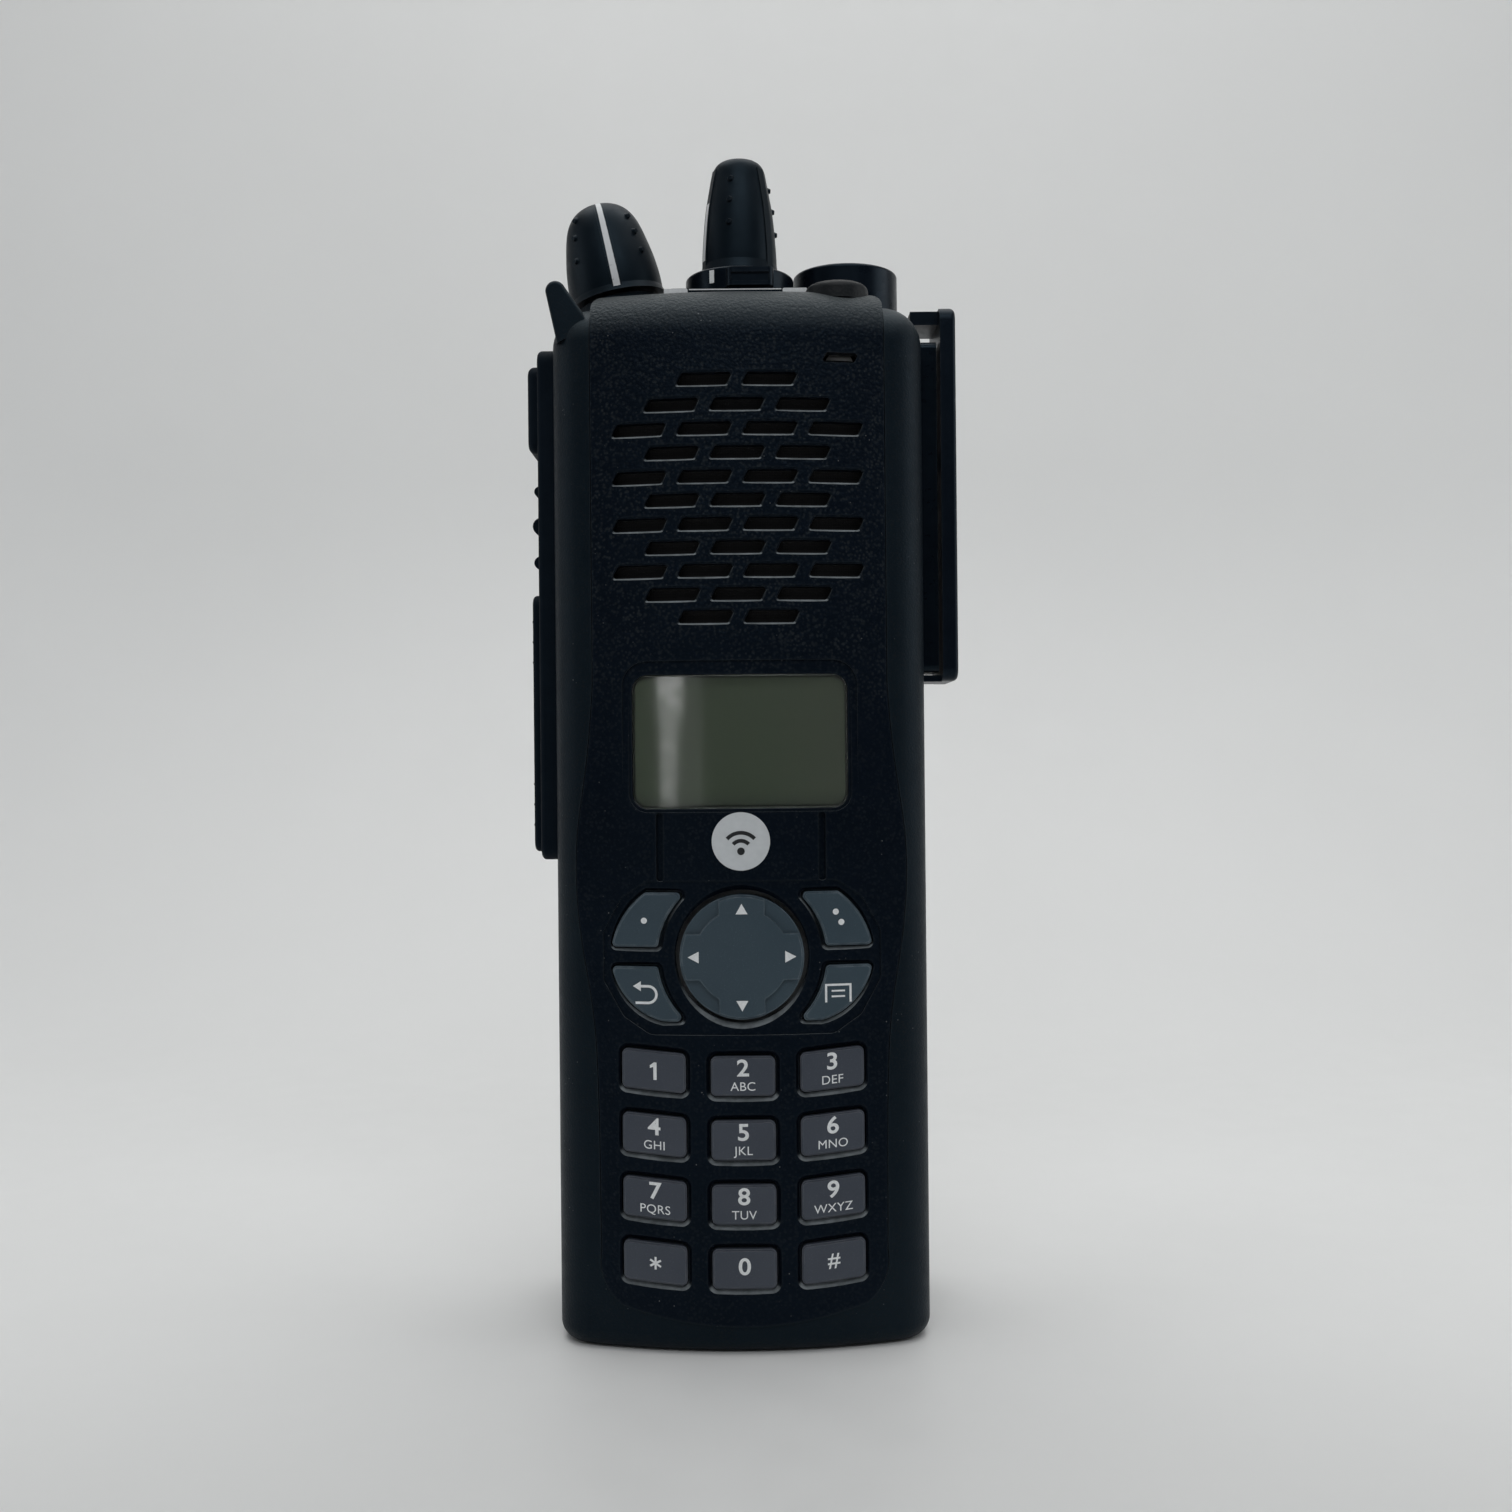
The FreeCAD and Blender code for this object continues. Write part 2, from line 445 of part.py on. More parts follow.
# Knobs: barrel with three grip faces between three raised ribs, and a skirt.
def fin_of(profile, top, width):
    """Upright fin in the XZ plane, from the axis out to the profile."""
    z0 = 0.4
    pts = [V(profile[0][1] + (profile[1][1] - profile[0][1]) * z0 / profile[1][0], 0, z0)] + [V(r, 0, t) for t, r in profile[1:] if t < top]
    b = Part.BSplineCurve()
    b.interpolate(pts)
    q = V(pts[-1].x * 0.35, 0, pts[-1].z + 0.25)
    w = [b.toShape(), Part.LineSegment(pts[-1], q).toShape(), Part.LineSegment(q, V(0, 0, q.z)).toShape(),
         Part.LineSegment(V(0, 0, q.z), V(0, 0, z0)).toShape(), Part.LineSegment(V(0, 0, z0), pts[0]).toShape()]
    f = Part.Face(Part.Wire(w)).extrude(V(0, width, 0))
    f.translate(V(0, -width / 2, 0))
    return f

def knob(profile, face, rib_w, rib_top, skirt_r, skirt_h, bore_r, bore_d, turn, bumps):
    """Built on +Z with its foot at the origin. profile lists (height, radius)
    over the ribs; turn is the azimuth of the first rib, measured from -Y
    towards +X, in degrees; face scales the grip faces."""
    top = profile[-1][0]
    def turned(scale, extra=0.0):
        pts = [V(r * scale, 0, t + (extra if i == len(profile) - 1 else 0)) for i, (t, r) in enumerate(profile)]
        b = Part.BSplineCurve()
        b.interpolate(pts)
        zt = pts[-1].z
        w = [Part.LineSegment(V(0, 0, 0), pts[0]).toShape(), b.toShape(),
             Part.LineSegment(pts[-1], V(0, 0, zt)).toShape(), Part.LineSegment(V(0, 0, zt), V(0, 0, 0)).toShape()]
        return Part.Face(Part.Wire(w)).revolve(V(0, 0, 0), V(0, 0, 1), 360)
    body = turned(face)
    # Ribs: upright fins that follow the barrel and sink into its crown.
    s = body
    for k in range(3):
        f = fin_of(profile, rib_top, rib_w)
        f.rotate(V(0, 0, 0), V(0, 0, 1), turn - 90 + 120 * k)
        s = s.fuse(f)
    s = s.fuse(cone(skirt_r, skirt_r - 0.5, (0, 0, 0), (0, 0, skirt_h)))
    def radius(t):
        for (t0, r0), (t1, r1) in zip(profile, profile[1:]):
            if t0 <= t <= t1:
                return r0 + (r1 - r0) * (t - t0) / (t1 - t0)
    for az, lst in bumps:
        a = math.radians(az)
        for t in lst:
            rad = radius(t) * face - 0.12
            d = V(math.sin(a), -math.cos(a), 0)
            pin = Part.makeCone(0.62, 0.36, 0.62, d * rad + V(0, 0, t), d)
            s = s.fuse(pin)
    return s.cut(cyl(bore_r, (0, 0, -1), (0, 0, bore_d)))

def place(s, foot, lean):
    s = s.copy()
    s.rotate(V(0, 0, 0), V(0, 1, 0), -lean)
    s.translate(V(*foot))
    return s

SHAFT_R, BORE_R = 3.0, 3.06
VOL_TURN, CH_TURN = 4.0, -67.0
vk = knob([(0, 8.15), (2.0, 8.3), (4.6, 8.2), (7.3, 7.85), (10.0, 7.3), (12.4, 6.7), (14.3, 5.9), (15.7, 4.8), (16.7, 3.2), (17.2, 1.2)],
          0.98, 1.7, 16.0, 8.45, 1.6, BORE_R, 9.0, VOL_TURN,
          [(-44, (6.9, 11.0, 14.2)), (49, (6.6, 10.1, 13.1)), (150, (7.2, 10.8, 13.9)), (-150, (7.2, 10.8, 13.9))])
keep("volume_knob", place(vk, (VOL_X, VOL_Y, VOL_Z), VOL_LEAN), largest=True)
CH_Z = 179.4
ck = knob([(0, 6.6), (2.0, 6.68), (5.0, 6.55), (8.7, 6.25), (11.3, 5.95), (14.5, 5.4), (17.0, 4.92), (18.4, 4.62), (19.35, 4.15), (19.95, 3.4), (20.2, 2.2)],
          0.975, 1.5, 18.9, 6.95, 2.2, BORE_R, 11.0, CH_TURN,
          [(-16, (8.2, 12.2, 16.0)), (97, (7.9, 11.9, 15.6)), (215, (8.4, 12.4, 16.2))])
keep("channel_knob", place(ck, (CH_X, CH_Y, CH_Z), 0.0), largest=True)

# Controls under the knobs: body, bush and shaft.
vc = cyl(5.6, vol(-17.6), vol(-10.2)).fuse(cyl(3.7, vol(-10.8), vol(-0.9))).fuse(cyl(SHAFT_R, vol(-3), vol(8.7)))
keep("volume_control", vc)
cs = cyl(7.2, (CH_X, CH_Y, 158.0), (CH_X, CH_Y, 167.0)).fuse(cyl(4.2, (CH_X, CH_Y, 166), (CH_X, CH_Y, 179.1))).fuse(
    cyl(SHAFT_R, (CH_X, CH_Y, 178), (CH_X, CH_Y, 190.05)))
keep("channel_switch", cs)

# Antenna base and its threaded socket.
SOCK_R, SOCK_D = 4.0, 11.0
collar = cyl(ANT_R, (ANT_X, ANT_Y, DECK_Z), (ANT_X, ANT_Y, ANT_TOP))
collar = collar.cut(cyl(6.6, (ANT_X, ANT_Y, 170), (ANT_X, ANT_Y, 190)))
es = [e for e in collar.Edges if abs(e.BoundBox.ZMin - ANT_TOP) < 1e-4 and e.BoundBox.XLength > 15]
collar = collar.makeFillet(0.6, es)
keep("antenna_collar", collar)
sock = cyl(6.5, (ANT_X, ANT_Y, 164.0), (ANT_X, ANT_Y, 180.2)).cut(
    cyl(SOCK_R, (ANT_X, ANT_Y, 180.2 - SOCK_D), (ANT_X, ANT_Y, 182)))
keep("antenna_socket", sock)

# Round button beside the antenna.
tb = cyl(BTN_R, (BTN_X, BTN_Y, 171.9), (BTN_X, BTN_Y, BTN_TOP))
es = [e for e in tb.Edges if abs(e.BoundBox.ZMin - BTN_TOP) < 1e-4 and e.Curve.TypeId == "Part::GeomCircle"]
tb = tb.makeFillet(1.2, es)
tb = tb.fuse(cyl(2.4, (BTN_X, BTN_Y, 165.2), (BTN_X, BTN_Y, 172)))
tb = tb.fuse(cyl(3.3, (BTN_X, BTN_Y, 164.6), (BTN_X, BTN_Y, 165.9)))
keep("top_button", tb)

# ------------------------------------------------------------------ left side
SB_OUT = -34.15
SB_Y0, SB_Y1, SB_Z0, SB_Z1 = -8.0, 10.0, 78.6, 165.7
bez = rrect_x(SB_Y0, SB_Y1, SB_Z0, SB_Z1, 2.5, SB_OUT, -HALF_W)
es = [e for e in bez.Edges if e.BoundBox.XMax < SB_OUT + 1e-4]
bez = bez.makeFillet(0.8, es)
PB_Y0, PB_Y1 = -5.6, 7.6
def side_hole(z0, z1, g):
    return rrect_x(PB_Y0 - g, PB_Y1 + g, z0 - g, z1 + g, 2.0 + g, -40, -29.0)
for z0, z1 in (PTT, SBU, SBL):
    bez = bez.cut(side_hole(z0, z1, 0.3))
keep("side_bezel", bez, largest=True)

def side_cap(z0, z1, x_out, x_in, r=0.6):
    s = rrect_x(PB_Y0, PB_Y1, z0, z1, 2.0, x_out, x_in)
    es = [e for e in s.Edges if e.BoundBox.XMax < x_out + 1e-4]
    return s.makeFillet(r, es)
ptt = side_cap(PTT[0], PTT[1], -35.55, -32.25, 0.7)
for z in (84.5, 88.0, 91.5, 112.5, 116.0, 119.5):
    ptt = ptt.fuse(cyl(0.35, (-35.5, PB_Y0 + 2.2, z), (-35.5, PB_Y1 - 2.2, z)))
keep("ptt_button", ptt)
up = side_cap(SBU[0], SBU[1], -36.1, -32.25, 1.1)
keep("side_button_upper", up)
lo = side_cap(SBL[0], SBL[1], -34.35, -32.25, 0.4)
for z, r, x in ((142.0, 0.9, -34.4), (136.0, 1.5, -34.1), (129.7, 1.1, -34.3)):
    lo = lo.fuse(cyl(r, (x, PB_Y0 + 2.0, z), (x, PB_Y1 - 2.0, z)).common(box(-40, -32, -20, 20, SBL[0], SBL[1])))
keep("side_button_lower", lo)
sw = []
for z in plunger_z:
    s = box(-27.4, -25.8, -4.8, -0.6, z - 3.4, z + 3.4).fuse(cyl(1.3, (-30.9, -2.2, z), (-27, -2.2, z)))
    sw.append(s)
keep("side_switches", Part.makeCompound(sw))

# ----------------------------------------------------------------- right side
blk = rrect_x(-6.0, 6.0, 110.1, 166.8, 1.2, HALF_W, 34.1)
blk = blk.cut(box(32.9, 35, -4.4, 4.4, 113.5, 128.5))
blk = blk.cut(cyl(1.25, (31.2, 0, 147.0), (36, 0, 147.0)))
blk = blk.fuse(box(26.5, 31.6, -2.8, 1.8, 116.3, 123.7))
keep("side_connector", blk)
pads = [rrect_x(-3.3 + 3.4 * i, -1.3 + 3.4 * i, 114.8 + 3.4 * j, 117.1 + 3.4 * j, 0.4, 32.9, 33.2)
        for i in range(2) for j in range(4)]
pads = [p.translated(V(0, 0.8, 0)) for p in pads]
keep("connector_contacts", Part.makeCompound(pads))
cov = rrect_x(-8.2, 8.2, 108.5, 172.2, 2.2, 34.5, 37.2)
es = [e for e in cov.Edges if e.BoundBox.XMin > 37.2 - 1e-4]
cov = cov.makeFillet(0.9, es)
cov = cov.fuse(box(29.8, 34.9, -4.6, 4.6, 169.9, 172.2))
cov = cov.fuse(box(31.4, 34.9, -5.0, 5.0, 108.5, 109.6))
cov = cov.cut(cyl(3.7, (35.9, 0, 147.0), (39, 0, 147.0))).cut(cyl(1.5, (30, 0, 147.0), (38, 0, 147.0)))
# finger grooves on the cover
for z in (118.0, 121.5, 125.0):
    cov = cov.cut(cyl(0.7, (37.5, -5.5, z), (37.5, 5.5, z)))
keep("accessory_cover", cov, largest=True)
scr = cyl(3.4, (35.9, 0, 147.0), (37.1, 0, 147.0)).fuse(cyl(1.15, (31.7, 0, 147.0), (36.3, 0, 147.0)))
scr = scr.cut(box(36.5, 38, -4, 4, 146.45, 147.55))
keep("cover_screw", scr, largest=True)

# -------------------------------------------------------------------- battery
BAT_Y0, BAT_Z1, BAT_WALL = 2.5, SPLIT_Z - 0.3, 1.6
bat = body_section(0, -LIFT, SHOULDER_Z)
bat = fillet_level(bat, -LIFT, 3.0).common(box(-40, 40, BAT_Y0, 40, -5, BAT_Z1))
hollow = body_section(BAT_WALL, BAT_WALL - LIFT, BAT_Z1 - BAT_WALL).common(box(-40, 40, BAT_Y0 - 1, 40, -5, 200))
bat_case = bat.cut(hollow)
# grip ribs across the back, low down
for z in (10.0, 13.0, 16.0, 19.0, 22.0):
    bat_case = bat_case.cut(cyl(0.55, (-16, BACK_Y + 0.15, z), (16, BACK_Y + 0.15, z)))
# label field, sunk a little
bat_case = bat_case.cut(rrect_y(0, 78, 42, 62, 3.0, BACK_Y - 0.35, BACK_Y + 1))
LAT_Z0, LAT_Z1, LAT_Y0, LAT_Y1 = 96.0, 118.0, 11.0, 15.6
for sx in (-1, 1):
    bat_case = bat_case.cut(box(min(sx * 27, sx * 33), max(sx * 27, sx * 33), LAT_Y0 - 0.25, LAT_Y1 + 0.25, LAT_Z0 - 0.25, LAT_Z1 + 0.25))
keep("battery_case", bat_case, largest=True)
lid = body_section(BAT_WALL + 0.1, BAT_WALL + 0.1 - LIFT, BAT_Z1 - BAT_WALL - 0.1).common(box(-40, 40, BAT_Y0, BAT_Y0 + 1.4, -5, 200))
lid = lid.cut(box(-8.2, 8.2, 0, 3.4, 118.6, 125.4))
keep("battery_lid", lid)
cells = [cyl(6.9, (x, 11.6, z), (x, 11.6, z + 44.0)) for x in (-16.0, 0.0, 16.0) for z in (3.0, 49.0)]
keep("battery_cells", Part.makeCompound(cells))
con = [box(x - 1.3, x + 1.3, 2.6, 3.3, 119.6, 124.4) for x in (-5.7, -1.9, 1.9, 5.7)]
keep("battery_contacts", Part.makeCompound(con))
for nm, sx in (("battery_latch_left", -1), ("battery_latch_right", 1)):
    s = fillet_par(box(28.5, 31.7, LAT_Y0, LAT_Y1, LAT_Z0, LAT_Z1), (1, 0, 0), 1.4)
    for z in (101.0, 104.0, 107.0, 110.0, 113.0):
        s = s.fuse(cyl(0.35, (31.65, LAT_Y0 + 1.0, z), (31.65, LAT_Y1 - 1.0, z)))
    s = s.fuse(box(27.2, 28.7, LAT_Y0 - 1.2, LAT_Y1 + 0.6, LAT_Z0 - 1.2, LAT_Z1 + 1.2))
    if sx < 0:
        s = s.mirror(V(0, 0, 0), V(1, 0, 0))
    keep(nm, s)

# -------------------------------------------------------------------- inside
# Cast frame: plate with bent side walls that the boards screw to.
CH_Y0, CH_Y1 = -9.4, -8.0
frame = box(-25.6, 25.6, CH_Y0, CH_Y1, 4.0, 163.0)
for sx in (-1, 1):
    frame = frame.fuse(box(min(sx * 24.4, sx * 25.6), max(sx * 24.4, sx * 25.6), CH_Y0, -0.6, 4.0, 110.0))
frame = frame.cut(cyl(12.0, (0, -12, 138), (0, 0, 138)))
frame = frame.cut(box(-12, 30, -12, 0, 155.5, 170)).cut(box(-30, -12, -12, 0, 155.0, 170))
for x, z in screws_xz:
    frame = frame.fuse(cyl(2.6, (x, CH_Y0, z), (x, -0.2, z)))
for x, z in screws_xz:
    frame = frame.cut(cyl(1.25, (x, -12, z), (x, 1, z)))
keep("chassis", frame, largest=True)
seal = rrect_y(0, 77.0, 54.6, 148.0, 3.0, -11.1, -10.2).cut(rrect_y(0, 77.0, 51.8, 145.2, 2.0, -12, -9)).common(inner)
keep("housing_seal", seal, largest=True)
board = box(-23.9, 23.9, -6.4, -5.0, 5.0, 114.0)
for x, z in screws_xz:
    board = board.cut(cyl(2.8, (x, -12, z), (x, 1, z)))
keep("main_board", board)
cans = [rrect_y(x, z, w, h, 0.8, -4.9, -1.6) for x, z, w, h in ((-9.5, 34, 21, 24), (12.5, 34, 17, 24), (-9.5, 66, 21, 30), (12.5, 66, 17, 30), (0, 97, 34, 18))]
keep("shield_cans", Part.makeCompound(cans))
kb = box(-21.5, 21.5, -12.3, -11.2, 5.0, 80.5)
keep("keypad_board", kb)
domes = []
def dome_at(x, z):
    return Part.makeCone(2.6, 1.4, 0.35, V(x, -12.35, z), V(0, -1, 0))
for n in key_specs:
    domes.append(dome_at(key_specs[n][0], key_specs[n][1]))
for x, z in ((-17.0, 69.0), (17.0, 69.0), (-17.0, 57.8), (17.0, 57.8), (0, 70.0), (0, 57.0), (-6.5, 63.5), (6.5, 63.5)):
    domes.append(dome_at(x, z))
keep("key_domes", Part.makeCompound(domes))
mat = rrect_y(0, 42.4, 42.0, 73.6, 2.0, -30, -10).common(crown(4.7).cut(crown(5.9)))
mat = mat.cut(cyl(8.2, (0, -30, NAV_Z), (0, -10, NAV_Z)))
keep("keypad_mat", mat, largest=True)

# Loudspeaker: basket with magnet, cone, dust mesh behind the slots.
SPK_Z, SPK_R = 138.0, 17.8
bas = cyl(SPK_R, (0, -15.9, SPK_Z), (0, -13.9, SPK_Z)).cut(cyl(SPK_R - 2.2, (0, -17, SPK_Z), (0, -14.9, SPK_Z)))
bas = bas.fuse(cone(SPK_R - 1.0, 9.5, (0, -13.9, SPK_Z), (0, -11.4, SPK_Z))).fuse(cyl(9.5, (0, -11.4, SPK_Z), (0, -5.4, SPK_Z)))
keep("speaker_frame", bas)
con2 = cone(SPK_R - 2.4, 6.0, (0, -15.7, SPK_Z), (0, -15.0, SPK_Z)).cut(cone(SPK_R - 3.4, 5.0, (0, -15.72, SPK_Z), (0, -15.35, SPK_Z)))
keep("speaker_cone", con2, largest=True)
mesh = rrect_y(0, 138.2, 42.6, 45.2, 2.0, -30, -10).common(crown(PANEL_T + 0.05).cut(crown(PANEL_T + 0.35)))
mesh = mesh.common(rolled(PANEL_T + 0.05))
keep("grille_cloth", mesh, largest=True)
mic = cyl(2.3, (16.9, -15.9, 160.4), (16.9, -13.6, 160.4)).cut(cyl(0.6, (16.9, -17, 160.4), (16.9, -15.4, 160.4)))
keep("microphone", mic)
scs = [cyl(2.4, (x, 0.95, z), (x, 2.1, z)).cut(box(x - 1.6, x + 1.6, 1.55, 3, z - 0.3, z + 0.3)).fuse(cyl(1.2, (x, -7.6, z), (x, 1.2, z))) for x, z in screws_xz]
keep("housing_screws", Part.makeCompound(scs))

for name, s in nodes.items():
    s = s.copy()
    s.translate(V(0, 0, LIFT))
    s.exportStep("parts/%s.step" % name)
    print(name, round(s.Volume, 1), s.isValid(), len(s.Solids))
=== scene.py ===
import bpy, bmesh, math
from mathutils import Vector, Matrix


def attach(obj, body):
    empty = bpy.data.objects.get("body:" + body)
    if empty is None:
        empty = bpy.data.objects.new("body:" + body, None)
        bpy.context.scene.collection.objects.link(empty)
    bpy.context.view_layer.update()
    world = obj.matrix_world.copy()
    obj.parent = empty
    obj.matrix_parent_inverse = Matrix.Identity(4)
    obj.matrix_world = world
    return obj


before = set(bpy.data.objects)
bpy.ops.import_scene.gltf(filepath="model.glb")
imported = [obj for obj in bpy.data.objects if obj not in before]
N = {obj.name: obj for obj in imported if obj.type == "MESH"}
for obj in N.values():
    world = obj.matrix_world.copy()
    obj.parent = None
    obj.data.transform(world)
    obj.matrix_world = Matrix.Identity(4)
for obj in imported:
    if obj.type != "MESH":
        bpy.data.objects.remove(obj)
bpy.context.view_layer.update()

# ------------------------------------------------------------------ numbers
FRONT_Y = -0.021          # foremost line of the crowned front
CROWN_R = 0.090
KEY_PROUD = 0.00035
LIFT = 0.0012             # prints are drawn from a datum this far above the base
NAV_Z = 0.0635

def crown_y(x, proud=0.0):
    """Y of the crowned front surface, pushed forward by proud."""
    r = CROWN_R + proud
    return (FRONT_Y + CROWN_R) - math.sqrt(r * r - x * x)

# ---------------------------------------------------------------- materials
class Mat:
    """Small helper that lays out nodes for one material."""
    def __init__(self, name):
        self.m = bpy.data.materials.new(name)
        self.m.use_nodes = True
        self.nt = self.m.node_tree
        self.nt.nodes.clear()
        self.out = self.node("ShaderNodeOutputMaterial")
        self.b = self.node("ShaderNodeBsdfPrincipled")
        self.nt.links.new(self.b.outputs[0], self.out.inputs[0])
        tc = self.node("ShaderNodeTexCoord")
        self.co = tc.outputs["Object"]

    def node(self, kind, **props):
        n = self.nt.nodes.new(kind)
        for k, v in props.items():
            setattr(n, k, v)
        return n

    def link(self, a, b):
        self.nt.links.new(a, b)

    def put(self, sock, v):
        if hasattr(v, "links") or isinstance(v, bpy.types.NodeSocket):
            self.nt.links.new(v, sock)
        else:
            sock.default_value = v

    def math(self, op, a, b=None, clamp=False):
        n = self.node("ShaderNodeMath", operation=op, use_clamp=clamp)
        self.put(n.inputs[0], a)
        if b is not None:
            self.put(n.inputs[1], b)
        return n.outputs[0]

    def noise(self, scale, detail=2.0, rough=0.5, dist=0.0, co=None, dims="3D"):
        n = self.node("ShaderNodeTexNoise", noise_dimensions=dims)
        self.put(n.inputs["Vector"], co or self.co)
        n.inputs["Scale"].default_value = scale
        n.inputs["Detail"].default_value = detail
        n.inputs["Roughness"].default_value = rough
        n.inputs["Distortion"].default_value = dist
        return n.outputs[0]

    def voronoi(self, scale, feature="F1", out="Distance", rand=1.0, co=None):
        n = self.node("ShaderNodeTexVoronoi", feature=feature)
        self.put(n.inputs["Vector"], co or self.co)
        n.inputs["Scale"].default_value = scale
        n.inputs["Randomness"].default_value = rand
        return n.outputs[out]

    def ramp(self, fac, stops, interp="LINEAR"):
        n = self.node("ShaderNodeValToRGB")
        n.color_ramp.interpolation = interp
        el = n.color_ramp.elements
        while len(el) < len(stops):
            el.new(0.5)
        for e, (p, c) in zip(el, stops):
            e.position = p
            e.color = (c, c, c, 1) if isinstance(c, (int, float)) else tuple(c) + (1,)
        self.put(n.inputs[0], fac)
        return n.outputs[0]

    def rng(self, v, a, b, c, d, clamp=True, smooth=False):
        n = self.node("ShaderNodeMapRange", clamp=clamp)
        if smooth:
            n.interpolation_type = "SMOOTHSTEP"
        self.put(n.inputs[0], v)
        for i, q in enumerate((a, b, c, d)):
            self.put(n.inputs[1 + i], q)
        return n.outputs[0]

    def mix(self, fac, a, b, blend="MIX"):
        n = self.node("ShaderNodeMix", data_type="RGBA", blend_type=blend)
        self.put(n.inputs[0], fac)
        for i, v in ((6, a), (7, b)):
            if isinstance(v, (tuple, list)):
                n.inputs[i].default_value = tuple(v[:3]) + (1,)
            else:
                self.put(n.inputs[i], v)
        return n.outputs[2]

    def xyz(self, co=None):
        n = self.node("ShaderNodeSeparateXYZ")
        self.put(n.inputs[0], co or self.co)
        return n.outputs[0], n.outputs[1], self.math("SUBTRACT", n.outputs[2], LIFT)

    def scaled(self, sx, sy, sz):
        n = self.node("ShaderNodeMapping")
        self.put(n.inputs[0], self.co)
        n.inputs["Scale"].default_value = (sx, sy, sz)
        return n.outputs[0]

    def bump(self, height, strength, distance, normal=None):
        n = self.node("ShaderNodeBump")
        self.put(n.inputs["Height"], height)
        n.inputs["Strength"].default_value = strength
        n.inputs["Distance"].default_value = distance
        if normal is not None:
            self.put(n.inputs["Normal"], normal)
        return n.outputs[0]

    def edge(self, radius, gain=6.0):
        """1 on sharp outer and inner edges, 0 on open faces."""
        bv = self.node("ShaderNodeBevel", samples=4)
        bv.inputs["Radius"].default_value = radius
        g = self.node("ShaderNodeNewGeometry")
        d = self.node("ShaderNodeVectorMath", operation="DOT_PRODUCT")
        self.link(bv.outputs[0], d.inputs[0])
        self.link(g.outputs["Normal"], d.inputs[1])
        one = self.math("SUBTRACT", 1.0, d.outputs["Value"])
        return self.math("MULTIPLY", one, gain, clamp=True)

    def up(self):
        """How far the face looks upwards, -1 to 1."""
        g = self.node("ShaderNodeNewGeometry")
        n = self.node("ShaderNodeSeparateXYZ")
        self.link(g.outputs["Normal"], n.inputs[0])
        return n.outputs[2]

    def set(self, **kw):
        for k, v in kw.items():
            self.put(self.b.inputs[k.replace("_", " ")], v)
        return self


COOL = (0.52, 0.78, 1.0, 1.0)

def plastic(name, base, light, rough=(0.42, 0.62), grain=0.00032, depth=0.00006, strength=0.55, edge_wear_and_light=0.35,
            edge_wear_and_light_col=(0.10, 0.11, 0.12), spec=0.5, edge_r=0.0005, dust=0.0, coat=0.0, mask=None, top_highlight=None, bevel_highlight=None, glint=0.0,
            tint=(1.0, 1.0, 1.0, 1.0)):
    """Moulded plastic with a spark-eroded grain. base and light are the two
    ends of its colour; mask, if given, scales the grain from 0 to 1. The up-face
    colour is a painted highlight on faces that look upwards, the bevel colour is a
    painted highlight on the narrow upward bevels below a height, and glint adds
    painted glints on grain cells; the edge colour is edge wear with a painted edge highlight."""
    M = Mat(name)
    s = 1.0 / grain
    fine = M.noise(s, 2.0, 0.6)
    cells = M.voronoi(s * 0.75, "SMOOTH_F1")
    h = M.math("ADD", M.math("MULTIPLY", fine, 0.6), M.math("MULTIPLY", cells, 0.55))
    if mask is not None:
        h = M.math("MULTIPLY", h, mask(M))
    big = M.noise(55, 3.0, 0.55)
    mid = M.noise(420, 3.0, 0.6)
    col = M.mix(M.rng(big, 0.3, 0.7, 0, 1), base, light)
    # Lighter specks on the grain: grain tone with a painted sparkle highlight.
    grain_speck_highlight = M.rng(fine, 0.60, 0.75, 0.0, 0.55)
    col = M.mix(grain_speck_highlight, col, tuple(min(1, c * 1.8 + 0.003) for c in light))
    if glint > 0:
        g = M.rng(cells, 0.20, 0.42, 1.0, 0.0)
        g = M.math("MULTIPLY", g, M.rng(M.noise(210, 3.0, 0.6), 0.35, 0.65, 0.25, 1.0))
        col = M.mix(M.math("MULTIPLY", g, mask(M)) if mask is not None else g, col, (glint * 0.8, glint * 0.95, glint * 1.12))
    # Painted highlight: faces that look upwards get a paler colour.
    if top_highlight is not None:
        col = M.mix(M.rng(M.up(), 0.08, 0.80, 0.0, 1.0), col, top_highlight)
    # Painted highlight on the narrow bevels that look upwards, below a height.
    if bevel_highlight is not None:
        low = M.rng(M.xyz()[2], 0.1585, 0.1600, 1.0, 0.0)
        patch = M.rng(M.noise(330, 3.0, 0.6), 0.34, 0.62, 0.45, 1.0)
        bevel_highlight_mask = M.math("MULTIPLY", M.math("MULTIPLY", M.rng(M.up(), 0.30, 0.52, 0.0, 1.0), low), patch)
        col = M.mix(bevel_highlight_mask, col, bevel_highlight)
    # Lighter edges: edge wear, and a painted edge highlight where the colour is raised, as on the keys.
    if edge_wear_and_light > 0:
        e = M.math("MULTIPLY", M.edge(edge_r), M.rng(mid, 0.38, 0.62, 0.15, edge_wear_and_light), clamp=True)
        col = M.mix(e, col, edge_wear_and_light_col)
    if dust > 0:
        d = M.math("MULTIPLY", M.rng(M.voronoi(900, rand=1.0), 0.0, 0.12, 1, 0), M.rng(M.noise(260, 1.0), 0.58, 0.66, 0, dust))
        col = M.mix(d, col, (0.45, 0.46, 0.46))
    r = M.rng(M.math("ADD", M.math("MULTIPLY", mid, 0.5), M.math("MULTIPLY", fine, 0.5)), 0.3, 0.7, rough[0], rough[1])
    M.set(Base_Color=col, Roughness=r)
    M.b.inputs["Specular IOR Level"].default_value = spec
    M.b.inputs["Specular Tint"].default_value = tint
    if coat:
        M.b.inputs["Coat Weight"].default_value = coat
        M.b.inputs["Coat Roughness"].default_value = 0.18
    M.set(Normal=M.bump(h, strength, depth))
    return M.m


